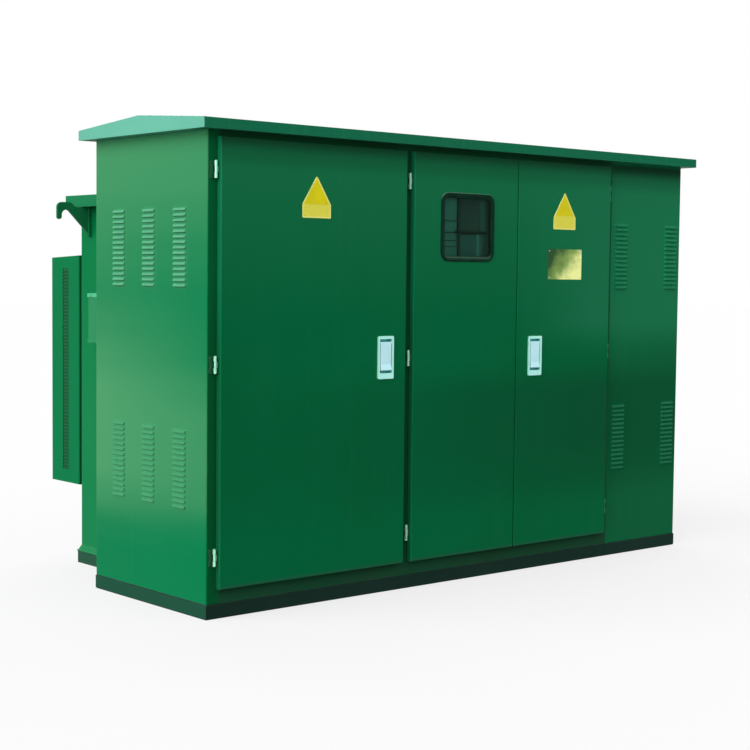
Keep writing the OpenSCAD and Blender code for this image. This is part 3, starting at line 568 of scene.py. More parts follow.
# %% Bands up a sheet
CABINET_TALL = 2.0
FRONT_REFLECTION = [(0.28, 0.0), (0.36, 0.06), (0.50, 0.52), (0.64, 0.61), (0.80, 0.61),
                (0.94, 0.38), (1.08, 0.12), (1.30, 0.05), (1.52, 0.17), (1.66, 0.40),
                (1.80, 0.60), (1.96, 0.64)]
REAR_REFLECTION = [(0.20, 0.02), (0.30, 0.10), (0.44, 0.65), (0.58, 1.0), (0.90, 1.0),
               (1.05, 0.76), (1.20, 0.46), (1.35, 0.27), (1.50, 0.40), (1.65, 0.52),
               (1.81, 0.68), (1.96, 0.84)]
EAVES_SHADOW = [(1.84, 0.0), (1.91, 0.35), (1.97, 1.0)]
PALE_BAND = [(1.02, 0.0), (1.22, 1.0), (1.95, 1.0)]
DIM_BAND = [(0.25, 0.0), (0.50, 0.8), (0.62, 1.0), (0.84, 1.0), (1.06, 0.0)]


def bands(tree, stops):
    """A value that eases from stop to stop, (height in metres, value), up the height."""
    share_up = reckon(tree, "DIVIDE", place(tree)["Z"], CABINET_TALL)
    ramp = wire(tree, "ValToRGB", {"Fac": share_up})
    elements = ramp.color_ramp.elements
    while len(elements) < len(stops):
        elements.new(1.0)
    for element, (height, value) in zip(elements, stops):
        element.position = height / CABINET_TALL
        element.color = (value, value, value, 1)
    ramp.color_ramp.interpolation = "EASE"
    return ramp.outputs["Color"]


def banded(stops, left, right, share=0.0):
    """A mask of bands up the height, which grow from share at left to 1 at right, in metres."""
    return lambda tree: reckon(tree, "MULTIPLY", bands(tree, stops),
                               remap(tree, place(tree)["X"], left, right, share, 1.0))


def reflection_on_the_wall(tree):
    """How far painted reflection lightens the side wall: one run of bands at its rear edge, a
    weaker one at its front edge, and an even change from one to the other."""
    low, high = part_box("left_wall")
    to_rear = remap(tree, place(tree)["Y"], low.y, high.y)
    at_front, at_rear = bands(tree, FRONT_REFLECTION), bands(tree, REAR_REFLECTION)
    change = reckon(tree, "SUBTRACT", at_rear, at_front)
    return reckon(tree, "MULTIPLY_ADD", change, to_rear, at_front)


# %% [markdown]
# ### Painted light, shade and dust on the sheets
# The side walls are painted paler in broad bands, a painted reflection. The doors have a pale
# band above a dim one, strongest towards the right, painted shade under the eaves, where the
# roof's overhang casts its shadow, and pale dust along the foot. The hoods of the louvres are
# painted paler, a painted highlight, and the strips between them are painted paler too, a
# painted light that lifts the shade there. The narrow return of the side wall and the side
# faces of the doors are painted darker, a painted shade.

# %% Painted light, shade and dust
# painted reflection: broad paler bands up the side wall stand for light reflected in its paint
recolour(wall_green, reflection_on_the_wall, (64, 131, 87))
recolour(door_green, banded(PALE_BAND, 0.2, 0.8), (28, 120, 79))
recolour(door_green, banded(DIM_BAND, -1.0, 0.8, 0.2), (9, 87, 52))
recolour(door_green, foot_of_door, (32, 98, 68))
recolour(panel_green, banded(PALE_BAND, 0.2, 0.8), (30, 124, 82))
recolour(panel_green, banded(DIM_BAND, 0.2, 0.8), (9, 88, 52))
# painted shade: the top of the doors and the front panel is painted darker, the shadow of the
# roof's overhang
for front_paint in (door_green, panel_green):
    recolour(front_paint, lambda tree: bands(tree, EAVES_SHADOW), (18, 68, 43))

WALL_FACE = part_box("front_panel")[1].x
DOOR_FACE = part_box("door_1")[0].y
FRONT_FACE = -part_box("sill")[0].y
# painted light: the side wall between and beside the louvre hoods, where shade gathers, is painted
# paler to lift that shade
recolour(wall_green, in_a_crevice, (66, 152, 106))
# painted highlight: the louvre hoods standing out of the side wall are painted paler, more on the
# upper ones
recolour(wall_green, standing_out("X", WALL_FACE), (59, 129, 88), (77, 144, 109))
# painted shade: the narrow front return of the side wall is painted darker
recolour(wall_green, wall_return, (5, 86, 45), (4, 94, 52))
# painted light: the front panel between its louvre hoods is painted paler to lift the shade there
recolour(panel_green, in_a_crevice, (14, 128, 80), (19, 156, 100))
# painted highlight: the louvre hoods on the front panel are painted paler
recolour(panel_green, standing_out("Y", FRONT_FACE), (34, 110, 76), (36, 126, 88))
# painted shade: the side faces of the doors, turned to the left, are painted a darker green
recolour(door_green, turned_to("X"), (12, 85, 51), (12, 101, 67))
print("wall face", round(WALL_FACE, 4), "front face", round(FRONT_FACE, 4))

# %% [markdown]
# ### Smaller things in two tones
# The slotted band of an end guard is painted darker, a painted shade of its slots, and its
# front fold is painted darker too, a painted shade. The side of the plinth that faces left is
# a paler green. The junction box has a lid in pale mint.

# %% Guards, plinth and box lid
BAND_WIDE, BAND_TALL = 58 * MM, 992 * MM
LID_TALL = 20 * MM


def slot_band(tree):
    """1 on the band of a guard that its slots are cut in: the smaller of two masks, one that
    falls off across the band and one that falls off past its ends."""
    at, wide, tall = middle("guard_left"), BAND_WIDE / 2, BAND_TALL / 2
    return reckon(tree, "MINIMUM", remap(tree, off(tree, "Y", at.y), wide + 1 * MM, wide - 1 * MM),
                  remap(tree, off(tree, "Z", at.z), tall + 2 * MM, tall - 2 * MM))


def fold_of_guard(tree):
    """1 along the front edge of an end guard, where its sheet begins to turn away."""
    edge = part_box("guard_left")[0].y
    return remap(tree, place(tree)["Y"], edge + 13 * MM, edge + 6 * MM)


# painted shade along the front fold of each guard
recolour(guard_green, fold_of_guard, (2, 84, 47))
# painted shade: the slotted band is painted darker, standing for the shade in its slots
recolour(guard_green, slot_band, (14, 73, 44))
recolour(plinth_black, turned_to("X"), (26, 68, 51))
box_green = paint("box_green", (38, 118, 76), (42, 124, 80), worn=0.2)
lid_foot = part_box("junction_box")[1].z - LID_TALL
over_the_foot = (lid_foot - 0.2 * MM, lid_foot + 0.2 * MM)
recolour(box_green, lambda tree: above(tree, *over_the_foot), (70, 162, 120))
print("lid from", round(lid_foot, 4))

# %% [markdown]
# ## Bare metal
# Bare fittings are zinc or satin chrome: metal with fine lines from brushing, and a little
# dullness where hands and rain have been. Each fitting has its own brightness and its own
# fineness of line, and shares the rest.

# %% Bare metal
TARNISH = 0.4  # how far the clouds of tarnish go


def metal(name, bright, dull, rough, lines, metallic):
    """Brushed metal: bright where it is clean, and dull in the clouds of its tarnish. Lines
    is how fine the brushing is, and metallic how much like bare metal it shines."""
    material, tree, shader = finish_of(name)
    stroke = use(tree, brushed, Lines=lines)["Value"]
    clouds = remap(tree, grain(tree, 9.0, detail=4.0), 0.42, 0.70)
    stain = reckon(tree, "MULTIPLY", clouds, TARNISH, clamp=True)
    marks = use(tree, specks, Scale=90.0, Share=0.12)["Mask"]
    coat = blend_colour(tree, stain, bright, dull)
    coat = blend_colour(tree, reckon(tree, "MULTIPLY", marks, 0.5), coat, dull)
    rubbed = remap(tree, stroke, 0.3, 0.7, rough - 0.06, rough + 0.06)
    fill(tree, shader, Base_Color=coat, Metallic=metallic,
         Roughness=reckon(tree, "ADD", rubbed, reckon(tree, "MULTIPLY", stain, 0.3)),
         Normal=bumps(tree, reckon(tree, "MULTIPLY", stroke, 0.012)))
    return material


hinge_zinc = metal("hinge_zinc", (154, 218, 190), (110, 176, 146), 0.42, 700.0, 0.4)
# painted shade: the hinges of door 2, on the post that door 1's edge shades, are a dimmer copy of
# the zinc
hinge_zinc_shaded = metal("hinge_zinc_shaded", (150, 200, 174), (112, 168, 138), 0.5, 700.0, 0.4)
handle_frame = metal("handle_frame", (182, 248, 236), (156, 218, 206), 0.4, 900.0, 0.5)
paddle_satin = metal("paddle_satin", (192, 238, 245), (170, 214, 222), 0.36, 1200.0, 0.6)
screw_steel = metal("screw_steel", (176, 190, 182), (110, 124, 116), 0.35, 600.0, 0.85)
print("finishes with the metals:", len(bpy.data.materials))

# %% [markdown]
# ### Fittings in two tones
# The sheets of a hinge are painted over in the dark green of the posts, which is partly painted
# shade, and its knuckles are rubbed bright by turning. The dish behind a paddle is bright at its
# rim; beside the paddle it and the paddle's own edges are painted near white, a painted light in
# the narrow gap, and above and below the paddle it is painted green, the painted shade of the
# deep dish. The masks take their places from the CAD boxes.

# %% Hinge sheets and dishes
KNUCKLE = 6 * MM
DISH_DEEP = 17.5 * MM


def off_the_pin(number):
    """A mask of the sheets of a hinge: 1 beyond the reach of its knuckles from the pin, to
    either side or behind."""
    low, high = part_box(f"hinge_leaves_{number}")
    pin_x, pin_y = high.x - KNUCKLE, low.y + KNUCKLE

    def mask(tree):
        beside = remap(tree, off(tree, "X", pin_x), KNUCKLE + 0.6 * MM, KNUCKLE + 1.2 * MM)
        behind = reckon(tree, "SUBTRACT", place(tree)["Y"], pin_y)
        behind = remap(tree, behind, KNUCKLE - 2 * MM, KNUCKLE - 1 * MM)
        return reckon(tree, "MAXIMUM", beside, behind)

    return mask


def in_the_dish(tree, beside=False):
    """1 above and below the paddle in the depth of a handle's dish, from just behind the door's
    face to the dish's floor, or with beside, 1 at the paddle's sides and 0 above and below it.
    The handle's level is that of door 1 or, right of x = 0, door 3."""
    heights = middle("paddle_1").z, middle("paddle_3").z
    level = remap(tree, place(tree)["X"], -1 * MM, 1 * MM, *heights)
    depth = reckon(tree, "SUBTRACT", place(tree)["Y"], DOOR_FACE)
    inside = reckon(tree, "MINIMUM", remap(tree, depth, 2 * MM, 3 * MM),
                    remap(tree, depth, DISH_DEEP + 1 * MM, DISH_DEEP + 0.6 * MM))
    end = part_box("paddle_1")[1].z - heights[0]
    ends = (end, end - 1 * MM) if beside else (end - 1 * MM, end)
    return reckon(tree, "MINIMUM", inside, remap(tree, off(tree, "Z", level), *ends))


def either_side(tree):
    """1 on the edges of a paddle, which face left or right."""
    return remap(tree, reckon(tree, "ABSOLUTE", facing(tree)["X"]), 0.9, 0.98)


# painted shade: the hinge sheets take the dark tone of the shaded posts
recolour(hinge_zinc, off_the_pin(1), (10, 76, 42))
recolour(hinge_zinc_shaded, off_the_pin(2), (12, 64, 38))
# painted light: the dish beside the paddle is painted near white to lift the shade in the narrow
# gap
recolour(handle_frame, lambda tree: in_the_dish(tree, beside=True), (244, 255, 252))
# painted shade: the dish above and below the paddle is painted a darker green
recolour(handle_frame, in_the_dish, (66, 168, 168))
# painted light: the paddle's side faces are painted near white
recolour(paddle_satin, either_side, (244, 255, 255))

# %% [markdown]
# ### Rubber
# The window moulding and the door seals are cured rubber: nearly black, with a slight green
# cast, a soft shine where it is new and a grey bloom where it has begun to age. A pale tone
# lies on whatever faces up, such as the foot of the moulding: dust, and a painted highlight.

# %% Rubber


def rubber(name, fresh, aged, dust_and_highlight):
    """Moulded rubber: fresh and aged are its two tones, and the third is how far a pale tone,
    dust with a painted highlight, covers the faces that look up."""
    material, tree, shader = finish_of(name)
    bloom = remap(tree, grain(tree, 22.0, detail=4.0), 0.35, 0.75)
    # dust and a painted highlight: a pale tone on the faces that look up
    dust_and_highlight_share = reckon(tree, "MULTIPLY", remap(tree, facing(tree)["Z"], 0.15, 0.6), dust_and_highlight)
    coat = blend_colour(tree, dust_and_highlight_share, blend_colour(tree, bloom, fresh, aged), (98, 134, 112))
    fill(tree, shader, Base_Color=coat, Specular_IOR_Level=0.03,
         Roughness=remap(tree, bloom, 0, 1, 0.36, 0.55),
         Normal=bumps(tree, reckon(tree, "MULTIPLY", grain(tree, 900.0), 0.03)))
    return material


moulding_rubber = rubber("moulding_rubber", (8, 40, 28), (14, 56, 41), 0.8)
seal_rubber = rubber("seal_rubber", (3, 14, 10), (8, 24, 18), 0.3)
print("rubbers:", moulding_rubber.name, seal_rubber.name)

# %% [markdown]
# ### Glass
# The pane is tinted green and wiped clean now and then, so its roughness is almost nothing
# but for broad faint smears. The tint does the darkening, and the light that gets through
# still shows what is behind.

# %% Glass
clear_glass, tree, shader = finish_of("clear_glass")
smear = remap(tree, grain(tree, 6.0, (1, 1, 0.35), detail=3.0), 0.4, 0.7)
fill(tree, shader, Base_Color=blend_colour(tree, smear, (186, 222, 208), (196, 230, 216)),
     Roughness=remap(tree, smear, 0, 1, 0.0, 0.03), Transmission_Weight=1.0,
     Specular_IOR_Level=0.1, IOR=1.1)
print("finishes so far:", len(bpy.data.materials))

# %% [markdown]
# ## Dress the CAD nodes
# Each node keeps its shape and takes one finish. The table is checked against the frame, so
# that no node is left in plain grey.

# %% Give every node its finish
FINISHES = {
    door_green: ["door_1", "door_2", "door_3", "stiffeners_1", "stiffeners_2", "stiffeners_3"],
    panel_green: ["front_panel"],
    frame_green: ["head_rail", "centre_post", "right_post"],
    sill_green: ["sill"],
    wall_green: ["left_wall", "right_wall", "rear_wall"],
    roof_green: ["roof_front", "roof_rear"],
    gable_green: ["gable_left", "gable_right"],
    tank_green: ["tank_walls", "radiator_1", "radiator_2", "radiator_3", "radiator_4"],
    cover_green: ["tank_cover", "hooks_left", "hooks_right"],
    guard_green: ["guard_left", "guard_right"],
    box_green: ["junction_box"],
    plinth_black: ["plinth_front", "plinth_rear", "plinth_sides"],
    base_green: ["tank_base"],
    hinge_zinc: ["hinge_leaves_1", "hinge_arms_1"],
    hinge_zinc_shaded: ["hinge_leaves_2", "hinge_arms_2"],
    hinge_paint: ["hinge_leaves_3", "hinge_arms_3"],
    handle_frame: ["handle_1", "handle_3"],
    paddle_satin: ["paddle_1", "paddle_3"],
    moulding_rubber: ["window_surround"],
    clear_glass: ["window_glass"],
}
for finish, members in FINISHES.items():
    for member in members:
        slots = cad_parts[member].data.materials
        slots.clear()
        slots.append(finish)
bare = set(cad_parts) - {m for members in FINISHES.values() for m in members}
print("nodes without a finish:", sorted(bare))

# %% [markdown]
# ## Plates, mouldings and heads
# A pressed plate is an outline with rounded corners, drawn in by small steps while it rises
# off the surface: its rolled edge is that profile. A screw head is a profile turned about an
# axis. A moulding is a plate's profile that comes back to where it began, so it has a hole.

# %% Shapes from a profile
FRONT, REAR, LEFT, RIGHT, UP = (0, -1, 0), (0, 1, 0), (-1, 0, 0), (1, 0, 0), (0, 0, 1)


def pressed(corners, radius, profile, steps=6):
    """Carries a profile of (inset, proud) round an outline whose corners run anticlockwise.
    With a and b the outward directions of the sides before and after a corner, its arc is
    centred at corner - R (a + b) / (1 + a.b) and has radius R - inset, from a to b."""
    corner = np.asarray(corners, float)
    side = np.roll(corner, -1, 0) - corner
    after = np.stack([side[:, 1], -side[:, 0]], 1) / np.linalg.norm(side, axis=1, keepdims=True)
    before = np.roll(after, 1, 0)
    lean = (before + after) / (1 + (before * after).sum(1, keepdims=True))
    first = np.arctan2(before[:, 1], before[:, 0])
    sweep = np.mod(np.arctan2(after[:, 1], after[:, 0]) - first, 2 * np.pi)
    angle = first[:, None] + sweep[:, None] * np.linspace(0, 1, steps)
    outward = np.stack([np.cos(angle), np.sin(angle)], 2)
    inset, proud = (part[:, None, None, None] for part in np.asarray(profile, float).T)
    reach = np.maximum(radius, inset + 0.2 * MM)
    flat = corner[:, None] - reach * lean[:, None] + (reach - inset) * outward
    solid = np.concatenate([flat, np.broadcast_to(proud, (*flat.shape[:3], 1))], 3)
    return solid.reshape(len(inset), -1, 3)


def oblong(width, height):
    """Four corners of a rectangle about its middle, anticlockwise."""
    return np.array([(1, 1), (-1, 1), (-1, -1), (1, -1)]) * (width / 2, height / 2)


def turned(profile, spokes=20, hexagon=False):
    """Turns a profile of (reach, proud) about the outward axis: (reach cos a, reach sin a,
    proud). A hexagon's reach is stretched by 1 / cos((a mod 60 degrees) - 30 degrees)."""
    reach, proud = np.asarray(profile, float).T
    angle = np.linspace(0, 2 * np.pi, spokes, endpoint=False)
    stretch = 1 / np.cos(np.mod(angle, np.pi / 3) - np.pi / 6) if hexagon else np.ones(spokes)
    ring = np.stack([np.cos(angle), np.sin(angle)], 1) * stretch[:, None]
    rise = np.broadcast_to(proud[:, None, None], (len(reach), spokes, 1))
    return np.concatenate([reach[:, None, None] * ring, rise], 2)


def dress(piece, body, finish):
    """Gives a piece its finish and the body that it moves with."""
    piece.data.materials.append(finish)
    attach(piece, body)
    print(piece.name, "on", body, "faces:", len(piece.data.polygons))


# %% [markdown]
# ## Yellow plates
# Each handled door has a plate of pressed steel, enamelled yellow, in the outline of a gable
# end: a tall triangle on a short band. The enamel is paler on the rolled rim and on the band.
# The rim is an attribute of the mesh, because it follows the outline, and the band is a
# height. Both plates are left plain.

# %% Enamel
BAND_TOP = 1.716
yellow_enamel, tree, shader = finish_of("yellow_enamel")
patchy = remap(tree, grain(tree, 14.0, detail=4.0), 0.3, 0.7)
coat = blend_colour(tree, patchy, (240, 228, 14), (226, 214, 18))
on_band = remap(tree, place(tree)["Z"], BAND_TOP + 3 * MM, BAND_TOP - 3 * MM)
coat = blend_colour(tree, on_band, coat, (240, 234, 84))
rim = wire(tree, "Attribute", attribute_name="rim").outputs["Fac"]
coat = blend_colour(tree, rim, coat, (242, 244, 128))
chips = use(tree, specks, Scale=60.0, Share=0.13)["Mask"]
coat = blend_colour(tree, reckon(tree, "MULTIPLY", chips, 0.6), coat, (140, 128, 50))
fill(tree, shader, Base_Color=coat, Roughness=remap(tree, patchy, 0, 1, 0.32, 0.46),
     Specular_IOR_Level=0.2,
     Normal=bumps(tree, use(tree, paint_skin, Peel=0.02, Waves=0.3)["Height"]))
print("enamel, band below", BAND_TOP)

# %% [markdown]
# ### The pressed plates
# The edge of a plate is rolled to stiffen it, a fine bead parts the triangle from the band,
# and small rivets hold it on. All of it is one mesh: an outline drawn in by steps, a slim
# oblong and five turned heads.

# %% Press the plates
PLATE_EDGE = np.array([(0, 0.1), (0, 0.9), (0.5, 1.5), (1.8, 1.8), (3.2, 1.5), (4.2, 1.0),
                       (5.8, 0.9), (8.0, 0.9)]) * MM
BEAD_EDGE = np.array([(0, 0.8), (0, 1.1), (0.4, 1.5), (0.8, 1.6)]) * MM
RIVET = np.array([(3.2, 0.8), (3.2, 1.3), (2.8, 2.0), (2.0, 2.5), (1.0, 2.8), (0.3, 2.85)]) * MM
PLATE_CORNER, SHOULDER = 5 * MM, 58 * MM
RIVET_IN, TOP_RIVET_IN = 12 * MM, 30 * MM  # from the edges, and down from the point
LINE_UP, LINE_SHORT, LINE_WIDE = 4 * MM, 22 * MM, 2 * MM  # the bead between triangle and band
PLATES = {  # name: (node it sits on, how far left of its middle, how high, width, height)
    "yellow_plate_1": ("door_1", 12 * MM, 1.7475, 154 * MM, 179 * MM),
    "yellow_plate_3": ("door_3", 10 * MM, 1.740, 156 * MM, 180 * MM),
}


def gable_plate(width, height):
    """Corners of a triangle on a band: base, then the shoulders, then the point."""
    half, foot = width / 2, -height / 2
    shoulder = foot + SHOULDER
    return [(half, foot), (half, shoulder), (0, height / 2), (-half, shoulder), (-half, foot)]


for name, (node, left, level, width, height) in PLATES.items():
    aside, top = width / 2 - RIVET_IN, height / 2
    band_top = SHOULDER - top + LINE_UP
    sheet = pressed(gable_plate(width, height), PLATE_CORNER, PLATE_EDGE)
    line = pressed(oblong(width - LINE_SHORT, LINE_WIDE), LINE_WIDE / 2, BEAD_EDGE)
    rivets = [turned(RIVET, 12) + (x, z, 0) for x, z in (
        (-aside, RIVET_IN - top), (-aside, band_top - RIVET_IN), (aside, RIVET_IN - top),
        (aside, band_top - RIVET_IN), (0, top - TOP_RIVET_IN))]
    at = (middle(node).x - left, DOOR_FACE, level)
    grids = (sheet, line + (0, band_top, 0), *rivets)
    plate = shell(name, [stand_on(grid, at, FRONT) for grid in grids])
    on_rim = np.zeros(len(plate.data.vertices))
    on_rim[:sheet[:-1].size // 3] = 1
    plate.data.attributes.new("rim", "FLOAT", "POINT").data.foreach_set("value", on_rim)
    dress(plate, node, yellow_enamel)

# %% [markdown]
# ## Brass plate
# A blank brass plate sits below the yellow one on the right leaf. Brass goes dull and green
# where rain lies on it, so the tarnish is strongest at one corner and thins out from there.

# %% Brass plate
brass, tree, shader = finish_of("plate_brass")
BRASS_WIDE, BRASS_TALL, BRASS_CORNER = 240 * MM, 147 * MM, 3 * MM
BRASS_AT = (middle("door_3").x - 3 * MM, DOOR_FACE, 1.4815)
to_right = remap(tree, reckon(tree, "SUBTRACT", place(tree)["X"], BRASS_AT[0]),
                 -BRASS_WIDE / 2, BRASS_WIDE / 2)
to_foot = above(tree, BRASS_AT[2] + 80 * MM, BRASS_AT[2] - 80 * MM)
lie = reckon(tree, "MULTIPLY_ADD", to_right, 0.75, reckon(tree, "MULTIPLY", to_foot, 0.5))
cloud = reckon(tree, "MULTIPLY_ADD", grain(tree, 16.0, detail=4.0), 0.6, -0.3)
clean = remap(tree, reckon(tree, "ADD", lie, cloud), 0.25, 1.05)
polish = blend_colour(tree, remap(tree, clean, 0, 0.45), (38, 80, 40), (128, 160, 82))
polish = blend_colour(tree, remap(tree, clean, 0.45, 0.85), polish, (240, 246, 160))
stroke = use(tree, brushed, Lines=800.0)["Value"]
fill(tree, shader, Base_Color=polish, Metallic=0.8, Roughness=remap(tree, clean, 0, 1, 0.5, 0.32),
     Normal=bumps(tree, reckon(tree, "MULTIPLY", stroke, 0.01)))

BRASS_EDGE = np.array([(0, 0.1), (0, 0.9), (0.4, 1.3), (1.2, 1.4), (5.2, 1.4), (5.7, 1.0),
                       (6.5, 1.0), (7.0, 1.4), (9.0, 1.4)]) * MM
SCREW = np.array([(3.6, 1.2), (3.6, 1.7), (3.1, 2.5), (2.0, 3.0), (0.8, 3.2), (0.3, 3.2)]) * MM
SCREW_IN = 9.3 * MM  # from the plate's edges to its screws
sheet = pressed(oblong(BRASS_WIDE, BRASS_TALL), BRASS_CORNER, BRASS_EDGE)
dress(shell("brass_plate", [stand_on(sheet, BRASS_AT, FRONT)]), "door_3", brass)
heads = [stand_on(turned(SCREW, 12) + (*corner, 0), BRASS_AT, FRONT)
         for corner in oblong(BRASS_WIDE - 2 * SCREW_IN, BRASS_TALL - 2 * SCREW_IN)]
dress(shell("brass_screws", heads), "door_3", screw_steel)

# %% [markdown]
# ## Window moulding
# The glass is held by a rubber moulding of H section: one slot grips the door's sheet, the
# other grips the glass, and a groove in the front face takes the strip that locks it. The
# section is carried round the window once, so the moulding is one closed ring.

# %% Window moulding
MOULDING = np.array([
    (0, 0.05), (0, 1.8), (0.8, 3.6), (2.6, 4.7), (6, 5.0), (9, 4.8), (10.2, 4.2), (11.4, 4.2),
    (12.6, 4.7), (14, 4.6), (16, 4.0), (18.5, 3.0), (21, 2.1), (23.5, 1.6), (25, 1.3), (25, 1.05),
    (18.1, 1.05), (18.1, -4.05), (25, -4.05), (24.6, -6), (22.5, -7.4), (18, -8), (6, -8),
    (2, -7.2), (0.2, -5.4), (0, -3.05), (9.9, -3.05), (9.9, 0.05)]) * MM
WINDOW_CORNER = 45 * MM
low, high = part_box("window_surround")
window_at = np.array([middle("window_surround").x, DOOR_FACE, middle("window_surround").z])
ring = pressed(oblong(high.x - low.x, high.z - low.z), WINDOW_CORNER, MOULDING, steps=14)
moulding = shell("window_moulding", [stand_on(ring, window_at, FRONT)],
                 loop=True, capped=False, crease=50)
dress(moulding, "door_2", moulding_rubber)
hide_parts("window_surround")

# %% [markdown]
# ## Bars behind the glass
# Behind the pane is a dim green sheet, and in front of it the bars of a frame: a broad strip
# at the left with small rungs, a dark upright beside it and a dark cross bar lower down. Two
# panels, one low and one high at the right, and a slim post are a shade paler than the sheet.
# Each is a pressed strip, an outline whose edge rolls over, set a little way behind the glass.
# The back sheet reaches past the pane on both sides, so that no gap shows at a slant.

# %% Bars behind the glass
BAR = np.array([(0, 0), (0, 2.0), (0.6, 2.6), (1.4, 2.8)]) * MM
bar_paint = paint("bar_paint", (13, 33, 26), (17, 39, 31), worn=0.1)
upright_paint = paint("upright_paint", (26, 48, 42), (22, 44, 38), worn=0.1)
panel_shade = paint("panel_shade", (36, 68, 66), (42, 76, 72), worn=0.1)
low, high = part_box("window_glass")
wide, tall = high.x - low.x, high.z - low.z
STRIP_X, STRIP_WIDE = 6 * MM - 0.355 * wide, 0.27 * wide + 12 * MM
UPRIGHT_X, CROSS_Z = 17 * MM - 0.19 * wide, 11 * MM - 0.12 * tall
RUNGS = np.array([0.10, -0.09, -0.22, -0.32]) * tall


def window_bar(name, finish, strips):
    """Strips of (middle across, middle up, width, height, distance behind the door's face)."""
    grids = [stand_on(pressed(oblong(w, h), 1 * MM, BAR), window_at + (x, back, z), FRONT)
             for x, z, w, h, back in strips]
    dress(shell(name, grids), "door_2", finish)


# painted shade: the dim back sheet stands for the dark inside of the cabinet seen through the
# glass
window_bar("window_back", shelf_green, [(0, 0, wide + 44 * MM, tall - 2 * MM, 25 * MM)])
window_bar("window_strip", strip_green, [
    (STRIP_X, 0, STRIP_WIDE, tall - 4 * MM, 21 * MM),
    (0.27 * wide, -0.27 * tall, 18 * MM, 0.40 * tall, 19 * MM)])
window_bar("window_upright", upright_paint, [(UPRIGHT_X, 0, 18 * MM, tall - 4 * MM, 17 * MM)])
window_bar("window_panels", panel_shade, [
    (0.05 * wide, -0.31 * tall, 0.66 * wide, 0.36 * tall, 22 * MM),
    (0.37 * wide, 0.16 * tall, 34 * MM, 0.56 * tall, 22 * MM)])
window_bar("window_bars", bar_paint, [
    (0.12 * wide, CROSS_Z, 0.70 * wide, 14 * MM, 14 * MM),
    *((STRIP_X, rung, STRIP_WIDE - 6 * MM, 4 * MM, 17 * MM) for rung in RUNGS)])

# %% [markdown]
# ## Hinge screws and pin caps
# Each hinge leaf is held to its post by two screws, and its pin is closed top and bottom by
# a domed cap. The places come from the CAD boxes of the leaves.

# %% Hinge screws
LEAF_SCREW = np.array([(4.4, -0.2), (4.4, 0.5), (3.8, 1.3), (2.4, 1.9), (0.9, 2.1),
                       (0.3, 2.1)]) * MM
PIN_CAP = np.array([(5.6, -0.2), (5.6, 0.8), (4.6, 1.9), (2.6, 2.6), (0.4, 2.8)]) * MM
HINGE_HALF, LEAF_SHEET = 35 * MM, 3 * MM
SCREW_ASIDE, SCREW_APART = 16 * MM, 22 * MM  # from the pin, and from the hinge's middle
for number, side in ((1, 1), (2, 1), (3, -1)):
    low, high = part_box(f"hinge_leaves_{number}")
    pin_x = high.x - KNUCKLE if side > 0 else low.x + KNUCKLE
    screw_x, sheet_y = pin_x - side * SCREW_ASIDE, high.y - LEAF_SHEET
    heights = np.array([low.z + HINGE_HALF, (low.z + high.z) / 2, high.z - HINGE_HALF])
    heads = [stand_on(turned(LEAF_SCREW, 14), (screw_x, sheet_y, z), FRONT)
             for z in np.concatenate([heights - SCREW_APART, heights + SCREW_APART])]
    dress(shell(f"hinge_screws_{number}", heads), "cabinet", frame_green)
    caps = [stand_on(turned(PIN_CAP, 12), (pin_x, low.y + KNUCKLE, z + way * HINGE_HALF),
                     (0, 0, way), FRONT) for z in heights for way in (1, -1)]
    dress(shell(f"pin_caps_{number}", caps), "cabinet", hinge_paint)

# %% [markdown]
# ## Lid screws
# The lid of the junction box is held by small hexagon screws through its skirt, two on the
# outer face and one at each end. A hexagon is a turned profile whose reach is stretched
# towards six corners.

# %% Lid screws
LID_SCREW = np.array([(4.6, -0.2), (4.6, 0.8), (4.0, 0.9), (4.0, 3.2), (3.5, 3.8), (1.6, 4.0),
                      (0.3, 4.0)]) * MM
low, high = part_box("junction_box")
level, inset = high.z - 12 * MM, 30 * MM  # below the lid's top, and in from its ends
across = middle("junction_box").x
spots = [((low.x, low.y + inset, level), LEFT), ((low.x, high.y - inset, level), LEFT),
         ((across, low.y, level), FRONT), ((across, high.y, level), REAR)]
heads = [stand_on(turned(LID_SCREW, 12, hexagon=True), at, out) for at, out in spots]
dress(shell("lid_screws", heads), "cabinet", box_green)

# %% [markdown]
# ## Screens behind the guard slots
# A strip of painted wire mesh lies behind the slots of each end guard, to keep leaves off the
# fins. Seen from a few steps away it is a plain strip, so it is one thin sheet and its weave
# is in the finish: threads both ways, each a wave across the sheet.

# %% Guard screens
SCREEN_CLEAN, SCREEN_STAINED = (20, 89, 56), (32, 82, 50)
THREADS = 1200.0  # radians to the metre, so a thread every 2.6 mm
screen_mesh, tree, shader = finish_of("screen_mesh")
waves = [reckon(tree, "SINE", reckon(tree, "MULTIPLY", place(tree)[axis], THREADS))
         for axis in ("Y", "Z")]
weave = reckon(tree, "MAXIMUM", *(reckon(tree, "ABSOLUTE", wave) for wave in waves))
rusty = remap(tree, grain(tree, 9.0, detail=4.0), 0.40, 0.62)
thread = blend_colour(tree, rusty, SCREEN_CLEAN, SCREEN_STAINED)
fill(tree, shader, Base_Color=blend_colour(tree, weave, SCREEN_STAINED, thread), Roughness=0.6,
     Specular_IOR_Level=0.05, Normal=bumps(tree, reckon(tree, "MULTIPLY", weave, 0.4)))

